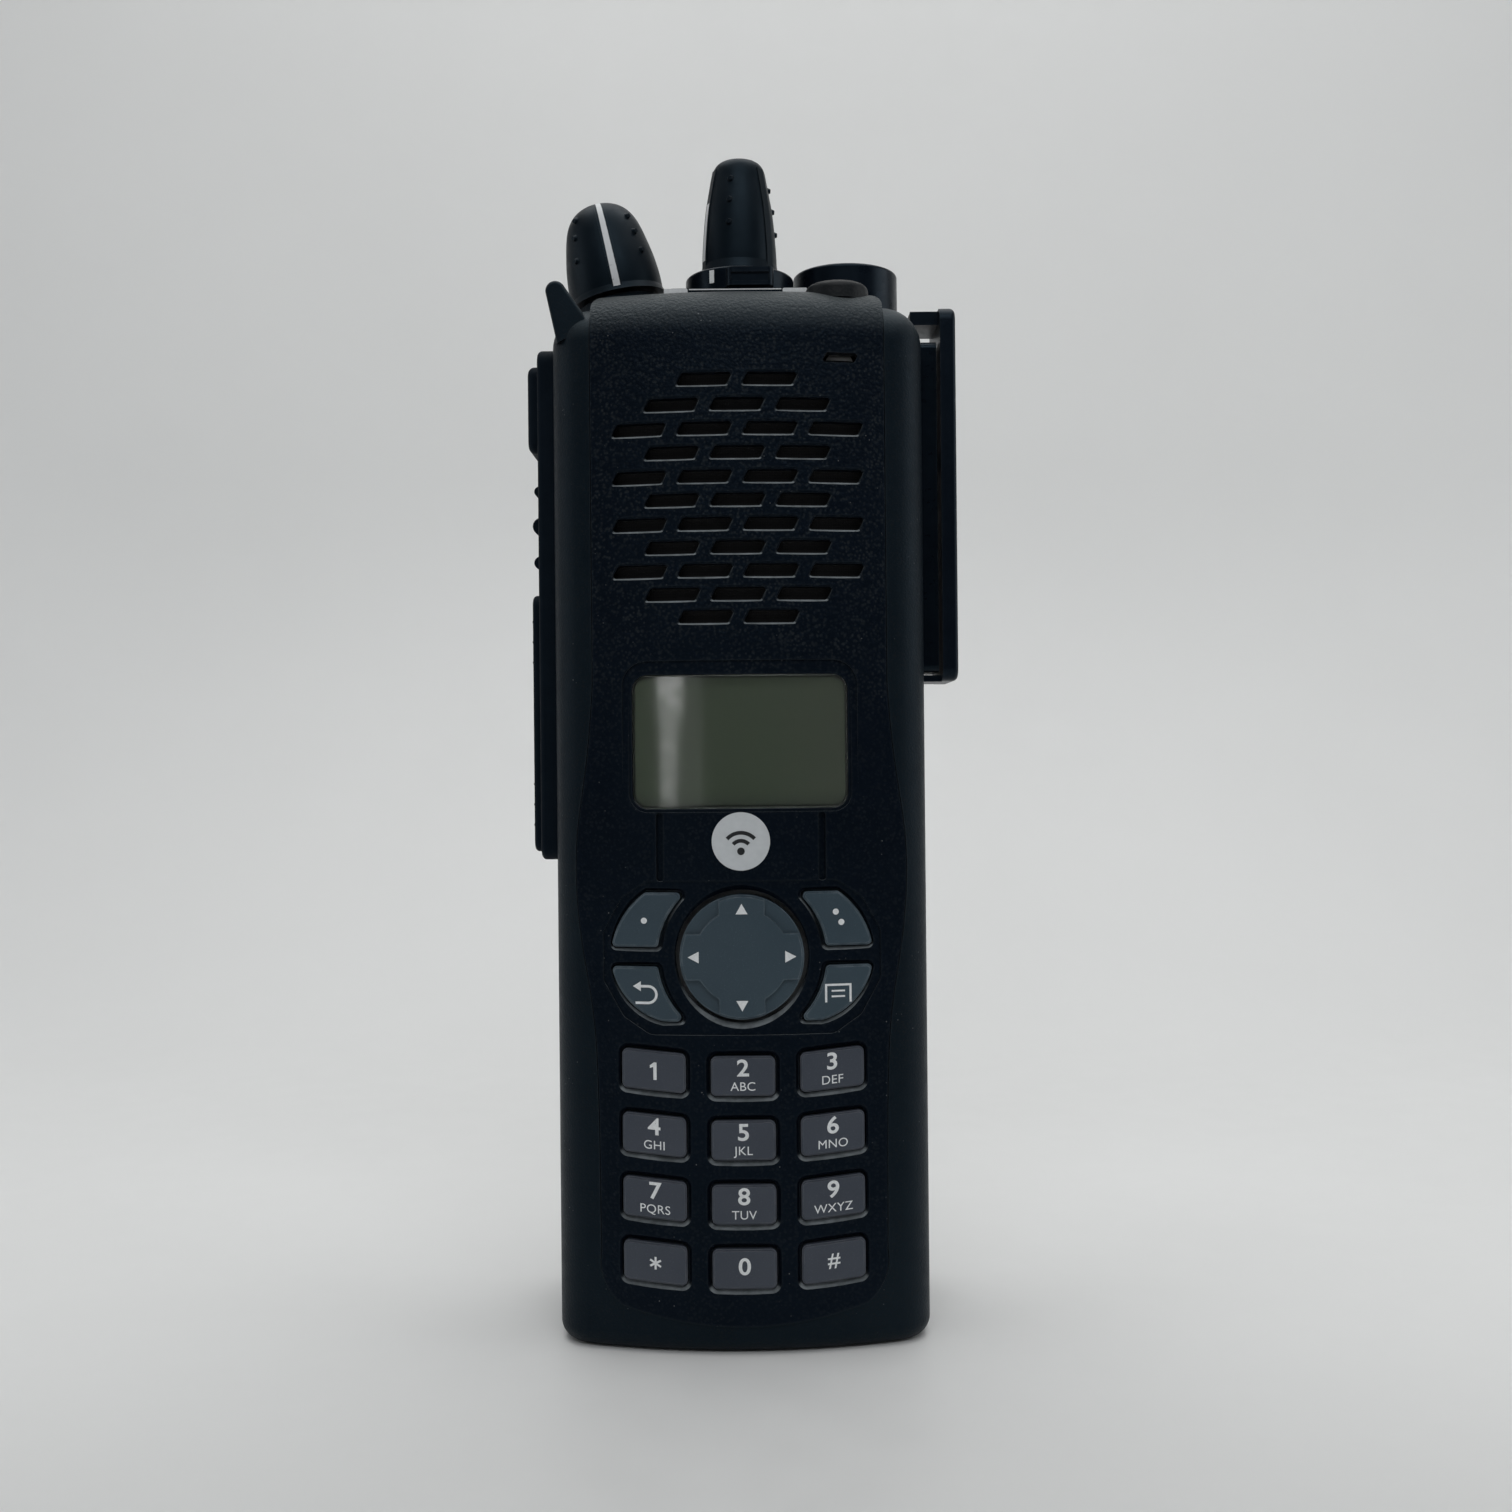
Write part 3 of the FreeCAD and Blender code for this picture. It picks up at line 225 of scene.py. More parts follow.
def polished(name, base, rough=0.16, edge_wear_and_light=0.25, spec=0.5, scratch=0.25):
    """Smooth black plastic with faint scuffs."""
    M = Mat(name)
    big = M.noise(70, 3.0)
    mid = M.noise(650, 4.0, 0.6)
    streak = M.noise(900, 2.0, 0.5, co=M.scaled(0.15, 1.0, 1.0))
    col = M.mix(M.rng(big, 0.3, 0.7, 0, 1), base, tuple(c * 1.7 + 0.002 for c in base))
    e = M.math("MULTIPLY", M.edge(0.0004), M.rng(mid, 0.4, 0.65, 0.1, edge_wear_and_light), clamp=True)
    col = M.mix(e, col, (0.07, 0.08, 0.085))
    r = M.rng(M.math("ADD", M.math("MULTIPLY", mid, 0.5), M.math("MULTIPLY", streak, scratch)), 0.2, 0.6, rough, rough + 0.2)
    M.set(Base_Color=col, Roughness=r)
    M.b.inputs["Specular IOR Level"].default_value = spec
    M.b.inputs["Specular Tint"].default_value = COOL
    M.set(Normal=M.bump(M.math("ADD", mid, streak), 0.12, 0.00003))
    return M.m


def rubbery(name, base, light, rough=(0.55, 0.8), edge_wear_and_light=0.25):
    M = Mat(name)
    fine = M.noise(5200, 2.0, 0.6)
    mid = M.noise(500, 4.0, 0.6)
    big = M.noise(60, 3.0)
    col = M.mix(M.rng(big, 0.3, 0.7, 0, 1), base, light)
    e = M.math("MULTIPLY", M.edge(0.0005), M.rng(mid, 0.4, 0.65, 0.1, edge_wear_and_light), clamp=True)
    col = M.mix(e, col, (0.05, 0.056, 0.06))
    col = M.mix(M.rng(mid, 0.62, 0.78, 0, 0.25), col, tuple(c * 1.8 + 0.002 for c in light))
    r = M.rng(M.math("ADD", M.math("MULTIPLY", mid, 0.6), M.math("MULTIPLY", fine, 0.4)), 0.3, 0.7, rough[0], rough[1])
    M.set(Base_Color=col, Roughness=r)
    M.b.inputs["Specular IOR Level"].default_value = 0.18
    M.b.inputs["Specular Tint"].default_value = COOL
    M.set(Normal=M.bump(M.math("ADD", fine, M.math("MULTIPLY", mid, 0.6)), 0.35, 0.00003))
    return M.m


def metal(name, base, rough=(0.22, 0.4), brushed=(0.08, 1.0, 1.0), scale=1800, dark_below=None):
    M = Mat(name)
    n1 = M.noise(scale, 3.0, 0.6, co=M.scaled(*brushed))
    n2 = M.noise(160, 3.0)
    col = M.mix(M.rng(n1, 0.3, 0.7, 0, 1), tuple(c * 0.82 for c in base), base)
    col = M.mix(M.rng(n2, 0.55, 0.8, 0, 0.35), col, tuple(c * 0.6 for c in base))
    if dark_below is not None:
        col = M.mix(M.math("LESS_THAN", M.xyz()[2], dark_below), col, (0.010, 0.012, 0.014))
    M.set(Base_Color=col, Roughness=M.rng(n1, 0.3, 0.7, rough[0], rough[1]))
    M.b.inputs["Metallic"].default_value = 1.0
    M.set(Normal=M.bump(n1, 0.15, 0.00002))
    return M.m


def paint(names, mat):
    for n in names:
        o = N[n]
        o.data.materials.clear()
        o.data.materials.append(mat)
        for p in o.data.polygons:
            p.material_index = 0


# The panel's grain is coarse at the top and finer round the display and keys.
def panel_mask(M):
    z = M.xyz()[2]
    return M.rng(z, 0.098, 0.116, 0.42, 1.0, smooth=True)

# The up-face and bevel colours and the glints on the panel are painted highlights.
m_panel = plastic("panel_grain", (0.0008, 0.0021, 0.0056), (0.0016, 0.0034, 0.0080), rough=(0.34, 0.52), grain=0.00042,
                  depth=0.00022, strength=1.0, edge_wear_and_light=0.22, edge_wear_and_light_col=(0.05, 0.06, 0.065), dust=0.5, mask=panel_mask, spec=0.13, tint=COOL,
                  top_highlight=(0.048, 0.055, 0.057), bevel_highlight=(0.24, 0.265, 0.28), glint=0.020)
# The up-face colours and glints of the housing and battery are painted highlights.
m_house = plastic("housing_grain", (0.0026, 0.0056, 0.0092), (0.0048, 0.0088, 0.0128), rough=(0.38, 0.56), grain=0.00028,
                  depth=0.00008, strength=0.7, edge_wear_and_light=0.25, edge_wear_and_light_col=(0.05, 0.06, 0.065), dust=0.35, spec=0.16, tint=COOL,
                  top_highlight=(0.034, 0.043, 0.048), glint=0.010)
m_batt = plastic("battery_grain", (0.0026, 0.0050, 0.0080), (0.0048, 0.0080, 0.0114), rough=(0.40, 0.58), grain=0.00034,
                 depth=0.00008, strength=0.7, edge_wear_and_light=0.25, edge_wear_and_light_col=(0.05, 0.06, 0.065), dust=0.3, spec=0.16, tint=COOL,
                 top_highlight=(0.028, 0.035, 0.039), glint=0.008)
# On the keys the edge colour is raised to paint highlights along the key edges, over some edge wear.
m_key = plastic("key_grey", (0.054, 0.064, 0.084), (0.066, 0.076, 0.097), rough=(0.38, 0.5), grain=0.00016, depth=0.00002,
                strength=0.3, edge_wear_and_light=0.65, edge_wear_and_light_col=(0.17, 0.18, 0.20), edge_r=0.00025, spec=0.25)
m_nav = plastic("key_slate", (0.040, 0.064, 0.084), (0.050, 0.077, 0.098), rough=(0.34, 0.46), grain=0.00016, depth=0.00002,
                strength=0.3, edge_wear_and_light=0.95, edge_wear_and_light_col=(0.17, 0.21, 0.24), edge_r=0.00032, spec=0.25)
m_knob = rubbery("knob_rubber", (0.0012, 0.0034, 0.0062), (0.0026, 0.0056, 0.0092), rough=(0.40, 0.58))
m_rub = rubbery("side_rubber", (0.0008, 0.0022, 0.0054), (0.0020, 0.0040, 0.0080))
m_gloss = polished("black_gloss", (0.0010, 0.0024, 0.0052), rough=0.22, spec=0.20)
m_cover = plastic("cover_grain", (0.0010, 0.0022, 0.0056), (0.0022, 0.0038, 0.0082), rough=(0.30, 0.44), grain=0.00030, depth=0.00004,
                  strength=0.4, edge_wear_and_light=0.25, edge_wear_and_light_col=(0.05, 0.06, 0.065), spec=0.2, tint=COOL)
m_steel = metal("sheet_steel", (0.62, 0.62, 0.61))
m_cast = metal("cast_frame", (0.50, 0.51, 0.52), rough=(0.4, 0.6), brushed=(1, 1, 1), scale=900)
m_brass = metal("machined_brass", (0.78, 0.60, 0.30), rough=(0.18, 0.34), brushed=(1, 1, 0.1), scale=2600, dark_below=0.1760)
m_gold = metal("gold_pads", (0.90, 0.70, 0.32), rough=(0.15, 0.3))
m_screw = metal("dark_screw", (0.30, 0.30, 0.31), rough=(0.28, 0.45))
m_cell = plastic("cell_wrap", (0.03, 0.09, 0.22), (0.04, 0.11, 0.26), rough=(0.25, 0.35), edge_wear_and_light=0)
m_sil = plastic("silicone_mat", (0.22, 0.23, 0.24), (0.26, 0.27, 0.28), rough=(0.5, 0.7), edge_wear_and_light=0)
m_pcb = plastic("board_mask", (0.01, 0.07, 0.03), (0.015, 0.09, 0.04), rough=(0.25, 0.4), edge_wear_and_light=0)

paint(["front_panel"], m_panel)
paint(["main_housing"], m_house)
paint(["battery_case", "battery_lid"], m_batt)
paint(["key_%d" % i for i in range(10)] + ["key_star", "key_hash"], m_key)
paint(["soft_key_left", "soft_key_right", "back_key", "menu_key", "nav_pad"], m_nav)
paint(["volume_knob", "channel_knob"], m_knob)
paint(["side_bezel", "ptt_button", "side_button_upper", "side_button_lower", "housing_seal", "lcd_gasket"], m_rub)
paint(["top_button"], plastic("button_grain", (0.0045, 0.0065, 0.0085), (0.0080, 0.0105, 0.0130), rough=(0.4, 0.6), grain=0.00040, depth=0.0001, strength=0.7, spec=0.25, edge_wear_and_light=0.2, edge_wear_and_light_col=(0.05, 0.06, 0.065)))
paint(["toggle_ring", "top_escutcheon", "antenna_collar", "side_connector", "nav_pivot", "battery_latch_left", "battery_latch_right", "side_switches"], m_gloss)
paint(["accessory_cover"], m_cover)
paint(["shield_cans", "microphone", "speaker_frame", "volume_control", "channel_switch", "key_domes"], m_steel)
paint(["chassis"], m_cast)
paint(["antenna_socket"], m_brass)
paint(["connector_contacts", "battery_contacts"], m_gold)
paint(["housing_screws", "cover_screw"], m_screw)
paint(["battery_cells"], m_cell)
paint(["keypad_mat"], m_sil)
paint(["keypad_board", "main_board"], m_pcb)

# Display: clear window over a grey-green panel with a fine dot grid.
def lens_mat():
    M = Mat("window_clear")
    n = M.noise(300, 4.0, 0.6)
    M.set(Base_Color=M.mix(M.rng(n, 0.4, 0.7, 0, 1), (0.93, 0.95, 0.92), (0.86, 0.89, 0.85)), Roughness=M.rng(n, 0.35, 0.7, 0.07, 0.13))
    M.b.inputs["Transmission Weight"].default_value = 1.0
    M.b.inputs["IOR"].default_value = 1.49
    M.set(Normal=M.bump(M.noise(60, 2.0), 0.05, 0.00005))
    return M.m

def lcd_mat():
    M = Mat("display_panel")
    x, y, z = M.xyz()
    big = M.noise(45, 2.0)
    base = M.mix(M.rng(big, 0.3, 0.7, 0, 1), (0.115, 0.150, 0.098), (0.136, 0.168, 0.116))
    # dot matrix, 0.36 mm pitch, barely darker than the ground
    fx = M.math("FRACT", M.math("MULTIPLY", x, 2780.0))
    fz = M.math("FRACT", M.math("MULTIPLY", z, 2780.0))
    gx = M.rng(M.math("ABSOLUTE", M.math("SUBTRACT", fx, 0.5)), 0.36, 0.46, 0, 1)
    gz = M.rng(M.math("ABSOLUTE", M.math("SUBTRACT", fz, 0.5)), 0.36, 0.46, 0, 1)
    grid = M.math("MAXIMUM", gx, gz)
    inside = M.math("MULTIPLY", M.math("LESS_THAN", M.math("ABSOLUTE", x), 0.0150),
                    M.math("LESS_THAN", M.math("ABSOLUTE", M.math("SUBTRACT", z, 0.0985)), 0.0085))
    base = M.mix(M.math("MULTIPLY", M.math("MULTIPLY", grid, inside), 0.10), base, (0.165, 0.205, 0.145))
    # warm tint to the right, darker foot
    base = M.mix(M.rng(x, 0.004, 0.017, 0, 0.5), base, (0.152, 0.160, 0.130))
    base = M.mix(M.rng(z, 0.0905, 0.0882, 0, 0.45), base, (0.075, 0.095, 0.072))
    M.set(Base_Color=base, Roughness=M.rng(big, 0.3, 0.7, 0.35, 0.45))
    return M.m

paint(["display_lens"], lens_mat())
paint(["lcd_module"], lcd_mat())

def badge_mat():
    M = Mat("badge_grey")
    n = M.noise(800, 3.0)
    M.set(Base_Color=M.mix(M.rng(n, 0.3, 0.7, 0, 1), (0.62, 0.65, 0.67), (0.68, 0.71, 0.73)), Roughness=M.rng(n, 0.3, 0.7, 0.4, 0.5))
    M.set(Normal=M.bump(n, 0.1, 0.00001))
    return M.m
paint(["badge"], badge_mat())

def mesh_mat():
    M = Mat("dust_mesh")
    x, y, z = M.xyz()
    a = M.math("SINE", M.math("MULTIPLY", x, 15700.0))
    b = M.math("SINE", M.math("MULTIPLY", z, 15700.0))
    w = M.math("MAXIMUM", a, b)
    M.set(Base_Color=M.mix(M.rng(w, -1, 1, 0, 1), (0.0015, 0.0015, 0.0018), (0.006, 0.006, 0.007)), Roughness=M.rng(w, -1, 1, 0.7, 0.9))
    M.set(Normal=M.bump(w, 0.5, 0.00004))
    return M.m
paint(["grille_cloth"], mesh_mat())
paint(["speaker_cone"], polished("cone_film", (0.02, 0.02, 0.022), rough=0.35))

# Knobs: white stripe painted along one rib.
def knob_mat(name, foot, lean, turn, z_lo, z_hi, w_lo, w_hi):
    m = rubbery(name, (0.0012, 0.0034, 0.0062), (0.0026, 0.0056, 0.0092), rough=(0.34, 0.52), edge_wear_and_light=0.3)
    M = Mat.__new__(Mat)
    M.m, M.nt = m, m.node_tree
    M.b = [n for n in M.nt.nodes if n.type == "BSDF_PRINCIPLED"][0]
    M.co = [n for n in M.nt.nodes if n.type == "TEX_COORD"][0].outputs["Object"]
    R = Matrix.Rotation(math.radians(-lean), 3, "Y")
    th = math.radians(turn)
    n0, t0, a0 = R @ Vector((math.sin(th), -math.cos(th), 0)), R @ Vector((math.cos(th), math.sin(th), 0)), R @ Vector((0, 0, 1))
    sub = M.node("ShaderNodeVectorMath", operation="SUBTRACT")
    M.link(M.co, sub.inputs[0]); sub.inputs[1].default_value = foot
    def dot(v):
        d = M.node("ShaderNodeVectorMath", operation="DOT_PRODUCT")
        M.link(sub.outputs[0], d.inputs[0]); d.inputs[1].default_value = v
        return d.outputs["Value"]
    along, across, out = dot(a0), dot(t0), dot(n0)
    half = M.rng(along, z_lo, z_hi, w_lo, w_hi)
    wob = M.math("MULTIPLY", M.math("SUBTRACT", M.noise(1500, 2.0), 0.5), 0.00008)
    s = M.rng(M.math("SUBTRACT", M.math("ABSOLUTE", M.math("ADD", across, wob)), half), 0.00004, -0.00004, 0, 1)
    s = M.math("MULTIPLY", s, M.math("GREATER_THAN", out, 0.0005))
    s = M.math("MULTIPLY", s, M.math("GREATER_THAN", along, z_lo))
    s = M.math("MULTIPLY", s, M.math("LESS_THAN", along, z_hi))
    worn = M.rng(M.noise(700, 4.0, 0.65), 0.66, 0.74, 1.0, 0.35)
    s = M.math("MULTIPLY", s, worn)
    old = M.b.inputs["Base Color"].links[0].from_socket
    M.put(M.b.inputs["Base Color"], M.mix(s, old, (0.72, 0.73, 0.74)))
    return m

VOL_FOOT, VOL_LEAN, VOL_TURN = (-0.0207, 0.0, 0.17665), 12.0, 4.0
CH_FOOT, CH_TURN = (0.0005, 0.0, 0.1806), -67.0
paint(["volume_knob"], knob_mat("volume_knob_rubber", VOL_FOOT, VOL_LEAN, VOL_TURN, 0.0006, 0.0176, 0.00060, 0.00042))
paint(["channel_knob"], knob_mat("channel_knob_rubber", CH_FOOT, 0.0, CH_TURN, 0.0024, 0.0125, 0.00060, 0.00050))

# ----------------------------------------------------------------- legends
def print_mat():
    M = Mat("legend_white")
    n = M.noise(2500, 3.0)
    M.set(Base_Color=M.mix(M.rng(n, 0.35, 0.75, 0, 1), (0.90, 0.92, 0.93), (0.78, 0.80, 0.81)), Roughness=M.rng(n, 0.3, 0.7, 0.45, 0.6))
    M.set(Normal=M.bump(n, 0.1, 0.00001))
    return M.m
m_print = print_mat()
def dark_mat():
    M = Mat("mark_dark")
    n = M.noise(2500, 3.0)
    M.set(Base_Color=M.mix(M.rng(n, 0.35, 0.75, 0, 1), (0.006, 0.008, 0.010), (0.012, 0.014, 0.017)), Roughness=M.rng(n, 0.3, 0.7, 0.4, 0.5))
    return M.m
m_dark = dark_mat()

def finish_print(ob, body, mat, name, proud, thick=0.00003, cx=0.0, cz=0.0, shear=0.0, sx=1.0):
    """Turns a flat outline drawn in its own XY plane into a thin printed layer
    that follows the crowned front."""
    dg = bpy.context.evaluated_depsgraph_get()
    me = bpy.data.meshes.new_from_object(ob.evaluated_get(dg))
    bpy.data.objects.remove(ob)
    bm = bmesh.new(); bm.from_mesh(me)
    bmesh.ops.remove_doubles(bm, verts=bm.verts, dist=1e-7)
    long_e = [e for e in bm.edges if e.calc_length() > 0.0012]
    if long_e:
        bmesh.ops.subdivide_edges(bm, edges=long_e, cuts=2)
    bmesh.ops.triangulate(bm, faces=bm.faces)
    for v in bm.verts:
        u, w, d = v.co
        u *= sx
        x = cx + u
        z = cz + w + shear * u
        v.co = Vector((x, crown_y(x, proud) - d, z + LIFT))
    bmesh.ops.recalc_face_normals(bm, faces=bm.faces)
    bm.to_mesh(me); bm.free()
    o = bpy.data.objects.new(name, me)
    bpy.context.collection.objects.link(o)
    me.materials.clear(); me.materials.append(mat)
    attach(o, body)
    return o

def text_piece(txt, size, body, name, proud, cx, cz, shear=0.0, bold=0.0, mat=None, spacing=1.0, sx=1.0):
    cu = bpy.data.curves.new(name, "FONT")
    cu.body = txt
    cu.size = size
    cu.align_x, cu.align_y = "CENTER", "CENTER"
    cu.offset = bold
    cu.extrude = 0.00001
    cu.resolution_u = 5
    cu.space_character = spacing
    ob = bpy.data.objects.new(name, cu)
    bpy.context.collection.objects.link(ob)
    bpy.context.view_layer.update()
    return finish_print(ob, body, mat or m_print, name, proud + 0.00001, cx=cx, cz=cz, shear=shear, sx=sx)

def poly_piece(loops, body, name, proud, cx, cz, shear=0.0, mat=None):
    """Closed outlines, each a list of (u, w) in metres."""
    cu = bpy.data.curves.new(name, "CURVE")
    cu.dimensions = "2D"; cu.fill_mode = "BOTH"; cu.extrude = 0.00001
    for pts in loops:
        sp = cu.splines.new("POLY"); sp.points.add(len(pts) - 1); sp.use_cyclic_u = True
        for p, (u, w) in zip(sp.points, pts):
            p.co = (u, w, 0, 1)
    ob = bpy.data.objects.new(name, cu)
    bpy.context.collection.objects.link(ob)
    bpy.context.view_layer.update()
    return finish_print(ob, body, mat or m_print, name, proud + 0.00001, cx=cx, cz=cz, shear=shear)

def arc_pts(cx, cy, r, a0, a1, n=24):
    return [(cx + r * math.cos(math.radians(a0 + (a1 - a0) * i / n)), cy + r * math.sin(math.radians(a0 + (a1 - a0) * i / n))) for i in range(n + 1)]

def stroke(pts, w):
    """Outline of a stroke of width w along pts, square ends."""
    L, R = [], []
    for i, p in enumerate(pts):
        a = Vector(pts[max(0, i - 1)]); b = Vector(pts[min(len(pts) - 1, i + 1)])
        d = (b - a).normalized(); n = Vector((-d.y, d.x)) * w / 2
        L.append((p[0] + n.x, p[1] + n.y)); R.append((p[0] - n.x, p[1] - n.y))
    return L + R[::-1]

SH = math.tan(math.radians(4.8))
KX, RISE = 0.0145, 0.0008
ROWS = (0.0442, 0.0338, 0.0234, 0.0130)
LEG = [("key_1", -1, 0, "1", ""), ("key_2", 0, 0, "2", "ABC"), ("key_3", 1, 0, "3", "DEF"),
       ("key_4", -1, 1, "4", "GHI"), ("key_5", 0, 1, "5", "JKL"), ("key_6", 1, 1, "6", "MNO"),
       ("key_7", -1, 2, "7", "PQRS"), ("key_8", 0, 2, "8", "TUV"), ("key_9", 1, 2, "9", "WXYZ"),
       ("key_star", -1, 3, "*", ""), ("key_0", 0, 3, "0", ""), ("key_hash", 1, 3, "#", "")]
for node, col, row, big, small in LEG:
    cx, cz = col * KX, ROWS[row] + (RISE if col else 0)
    sh = SH * col
    pr = KEY_PROUD
    if big == "1":
        one = [(0.00046, 0.00142), (0.00046, -0.00142), (-0.00008, -0.00142), (-0.00008, 0.00066), (-0.00064, 0.00044), (-0.00064, 0.00090), (0.00002, 0.00142)]
        poly_piece([one], node, "legend_1", pr, cx, cz, sh)
    elif big == "*":
        star = []
        for k in range(6):
            a = math.radians(90 + 60 * k)
            d, n = Vector((math.cos(a), math.sin(a))), Vector((-math.sin(a), math.cos(a)))
            star += [tuple(d * 0.00102 - n * 0.00017), tuple(d * 0.00102 + n * 0.00017)]
            b = a + math.radians(30)
            star.append((0.00034 * math.cos(b), 0.00034 * math.sin(b)))
        poly_piece([star], node, "legend_star", pr, cx, cz, sh)
    elif small:
        text_piece(big, 0.0038, node, "legend_" + big, pr, cx, cz + 0.00122, sh, bold=0.00007, sx=1.10)
        text_piece(small, 0.0020, node, "letters_" + big, pr, cx, cz - 0.0017, sh, spacing=1.04, sx=1.04)
    elif big == "#":
        text_piece(big, 0.0034, node, "legend_hash", pr, cx, cz + 0.0002, sh, bold=0.00003)
    else:
        text_piece(big, 0.0038, node, "legend_" + big, pr, cx, cz + 0.0003, sh, bold=0.00007, sx=1.10)

# Four arrows on the pad, marks on the quarter keys.
def tri(dx, dz, s=0.00095):
    if dx == 0:
        k = 1 if dz > 0 else -1
        return [(-s * 1.02, -k * s * 0.9), (s * 1.02, -k * s * 0.9), (0, k * s * 0.9)]
    k = 1 if dx > 0 else -1
    return [(-k * s * 0.95, -s), (-k * s * 0.95, s), (k * s * 0.95, 0)]
for nm, dx, dz in (("up", 0, 0.0078), ("down", 0, -0.0079), ("left", -0.0079, 0), ("right", 0.0079, 0)):
    poly_piece([tri(dx, dz)], "nav_pad", "arrow_" + nm, 0.00055, dx, NAV_Z + dz)
dotp = arc_pts(0, 0, 0.00050, 0, 345, 23)
poly_piece([dotp], "soft_key_left", "dot_left", KEY_PROUD, -0.0159, NAV_Z + 0.0059)
poly_piece([dotp], "soft_key_right", "dot_right_a", KEY_PROUD, 0.0153, NAV_Z + 0.0071)
poly_piece([dotp], "soft_key_right", "dot_right_b", KEY_PROUD, 0.0162, NAV_Z + 0.0054)
# back arrow: hook with a head
hook = stroke([(-0.0018, -0.00135)] + [(0.0003, -0.00135)] + arc_pts(0.0003, 0.0, 0.00135, -90, 90, 14)[1:] + [(-0.0010, 0.00135)], 0.00042)
poly_piece([hook], "back_key", "hook", KEY_PROUD, -0.0156, NAV_Z - 0.0061)
poly_piece([[(-0.0009, 0.00215), (-0.0009, 0.00055), (-0.0022, 0.00135)]], "back_key", "hook_head", KEY_PROUD, -0.0156, NAV_Z - 0.0061)
# menu mark: bracket with two lines
poly_piece([[(-0.00218, -0.0015), (-0.00182, -0.0015), (-0.00182, 0.00115), (0.00182, 0.00115), (0.00182, -0.0015), (0.00218, -0.0015), (0.00218, 0.0015), (-0.00218, 0.0015)]],
           "menu_key", "bracket", KEY_PROUD, 0.0156, NAV_Z - 0.0061)
for i, w in enumerate((0.00035, -0.00055)):
    poly_piece([[(-0.0011, w - 0.00014), (0.0011, w - 0.00014), (0.0011, w + 0.00014), (-0.0011, w + 0.00014)]], "menu_key", "menu_line_%d" % i, KEY_PROUD, 0.0156, NAV_Z - 0.0061)

# Generic signal mark on the badge.
BZ = 0.0822
poly_piece([arc_pts(0, -0.0016, 0.00062, 0, 345, 23)], "radio", "signal_dot", 0.00012, 0, BZ, mat=m_dark)
for i, r in enumerate((0.0017, 0.0030)):
    poly_piece([stroke(arc_pts(0, -0.0016, r, 42, 138, 20), 0.00062)], "radio", "signal_arc_%d" % i, 0.00012, 0, BZ, mat=m_dark)

# Marks on the top: two white fields and a fine line on the front edge of the
# plate, and a white notch on the selector ring.
def strip(name, body, x0, x1, z0, z1, y, mat):
    """Thin flat field on a face that looks towards -Y."""
    me = bpy.data.meshes.new(name)
    bm = bmesh.new()
    t = 0.00003
    r = min(0.00022, (z1 - z0) / 2.2)
    pts = []
    for cx, cz, a0 in ((x1 - r, z1 - r, 0), (x0 + r, z1 - r, 90), (x0 + r, z0 + r, 180), (x1 - r, z0 + r, 270)):
        pts += arc_pts(cx, cz, r, a0, a0 + 90, 4)
    a = [bm.verts.new((x, y, z + LIFT)) for x, z in pts]
    b = [bm.verts.new((x, y - t, z + LIFT)) for x, z in pts]
    bm.faces.new(a); bm.faces.new(b[::-1])
    for i in range(len(a)):
        j = (i + 1) % len(a)
        bm.faces.new((a[j], a[i], b[i], b[j]))
    bmesh.ops.recalc_face_normals(bm, faces=bm.faces)
    bm.to_mesh(me); bm.free()
    o = bpy.data.objects.new(name, me)
    bpy.context.collection.objects.link(o)
    me.materials.append(mat)
    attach(o, body)
    return o
def cyl_patch(name, body, cx, cy, r, a0, a1, z0, z1, mat, n=8):
    """Thin field on an upright cylinder, azimuth from -Y towards +X in degrees."""
    me = bpy.data.meshes.new(name)
    bm = bmesh.new()
    rows = []
    for rr in (r, r + 0.00003):
        for z in (z0, z1):
            rows.append([bm.verts.new((cx + rr * math.sin(math.radians(a0 + (a1 - a0) * i / n)),
                                       cy - rr * math.cos(math.radians(a0 + (a1 - a0) * i / n)), z + LIFT)) for i in range(n + 1)])
    for i in range(n):
        for a, b in ((0, 1), (3, 2), (2, 0), (1, 3)):
            bm.faces.new((rows[a][i], rows[a][i + 1], rows[b][i + 1], rows[b][i]))
    for i in (0, n):
        bm.faces.new((rows[0][i], rows[1][i], rows[3][i], rows[2][i]))
    bmesh.ops.recalc_face_normals(bm, faces=bm.faces)
    bm.to_mesh(me); bm.free()
    o = bpy.data.objects.new(name, me)
    bpy.context.collection.objects.link(o)
    me.materials.append(mat)
    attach(o, body)
    return o
strip("plate_mark_left", "radio", -0.0122, -0.0082, 0.17385, 0.17475, -0.0107, m_print)
strip("plate_mark_right", "radio", 0.0078, 0.0119, 0.17385, 0.17475, -0.0107, m_print)
strip("plate_line", "radio", -0.0080, 0.0076, 0.17450, 0.17470, -0.0107, m_print)
cyl_patch("ring_notch", "toggle_ring", 0.0005, 0.0, 0.0094, -32.5, -27.0, 0.1764, 0.1786, m_print)

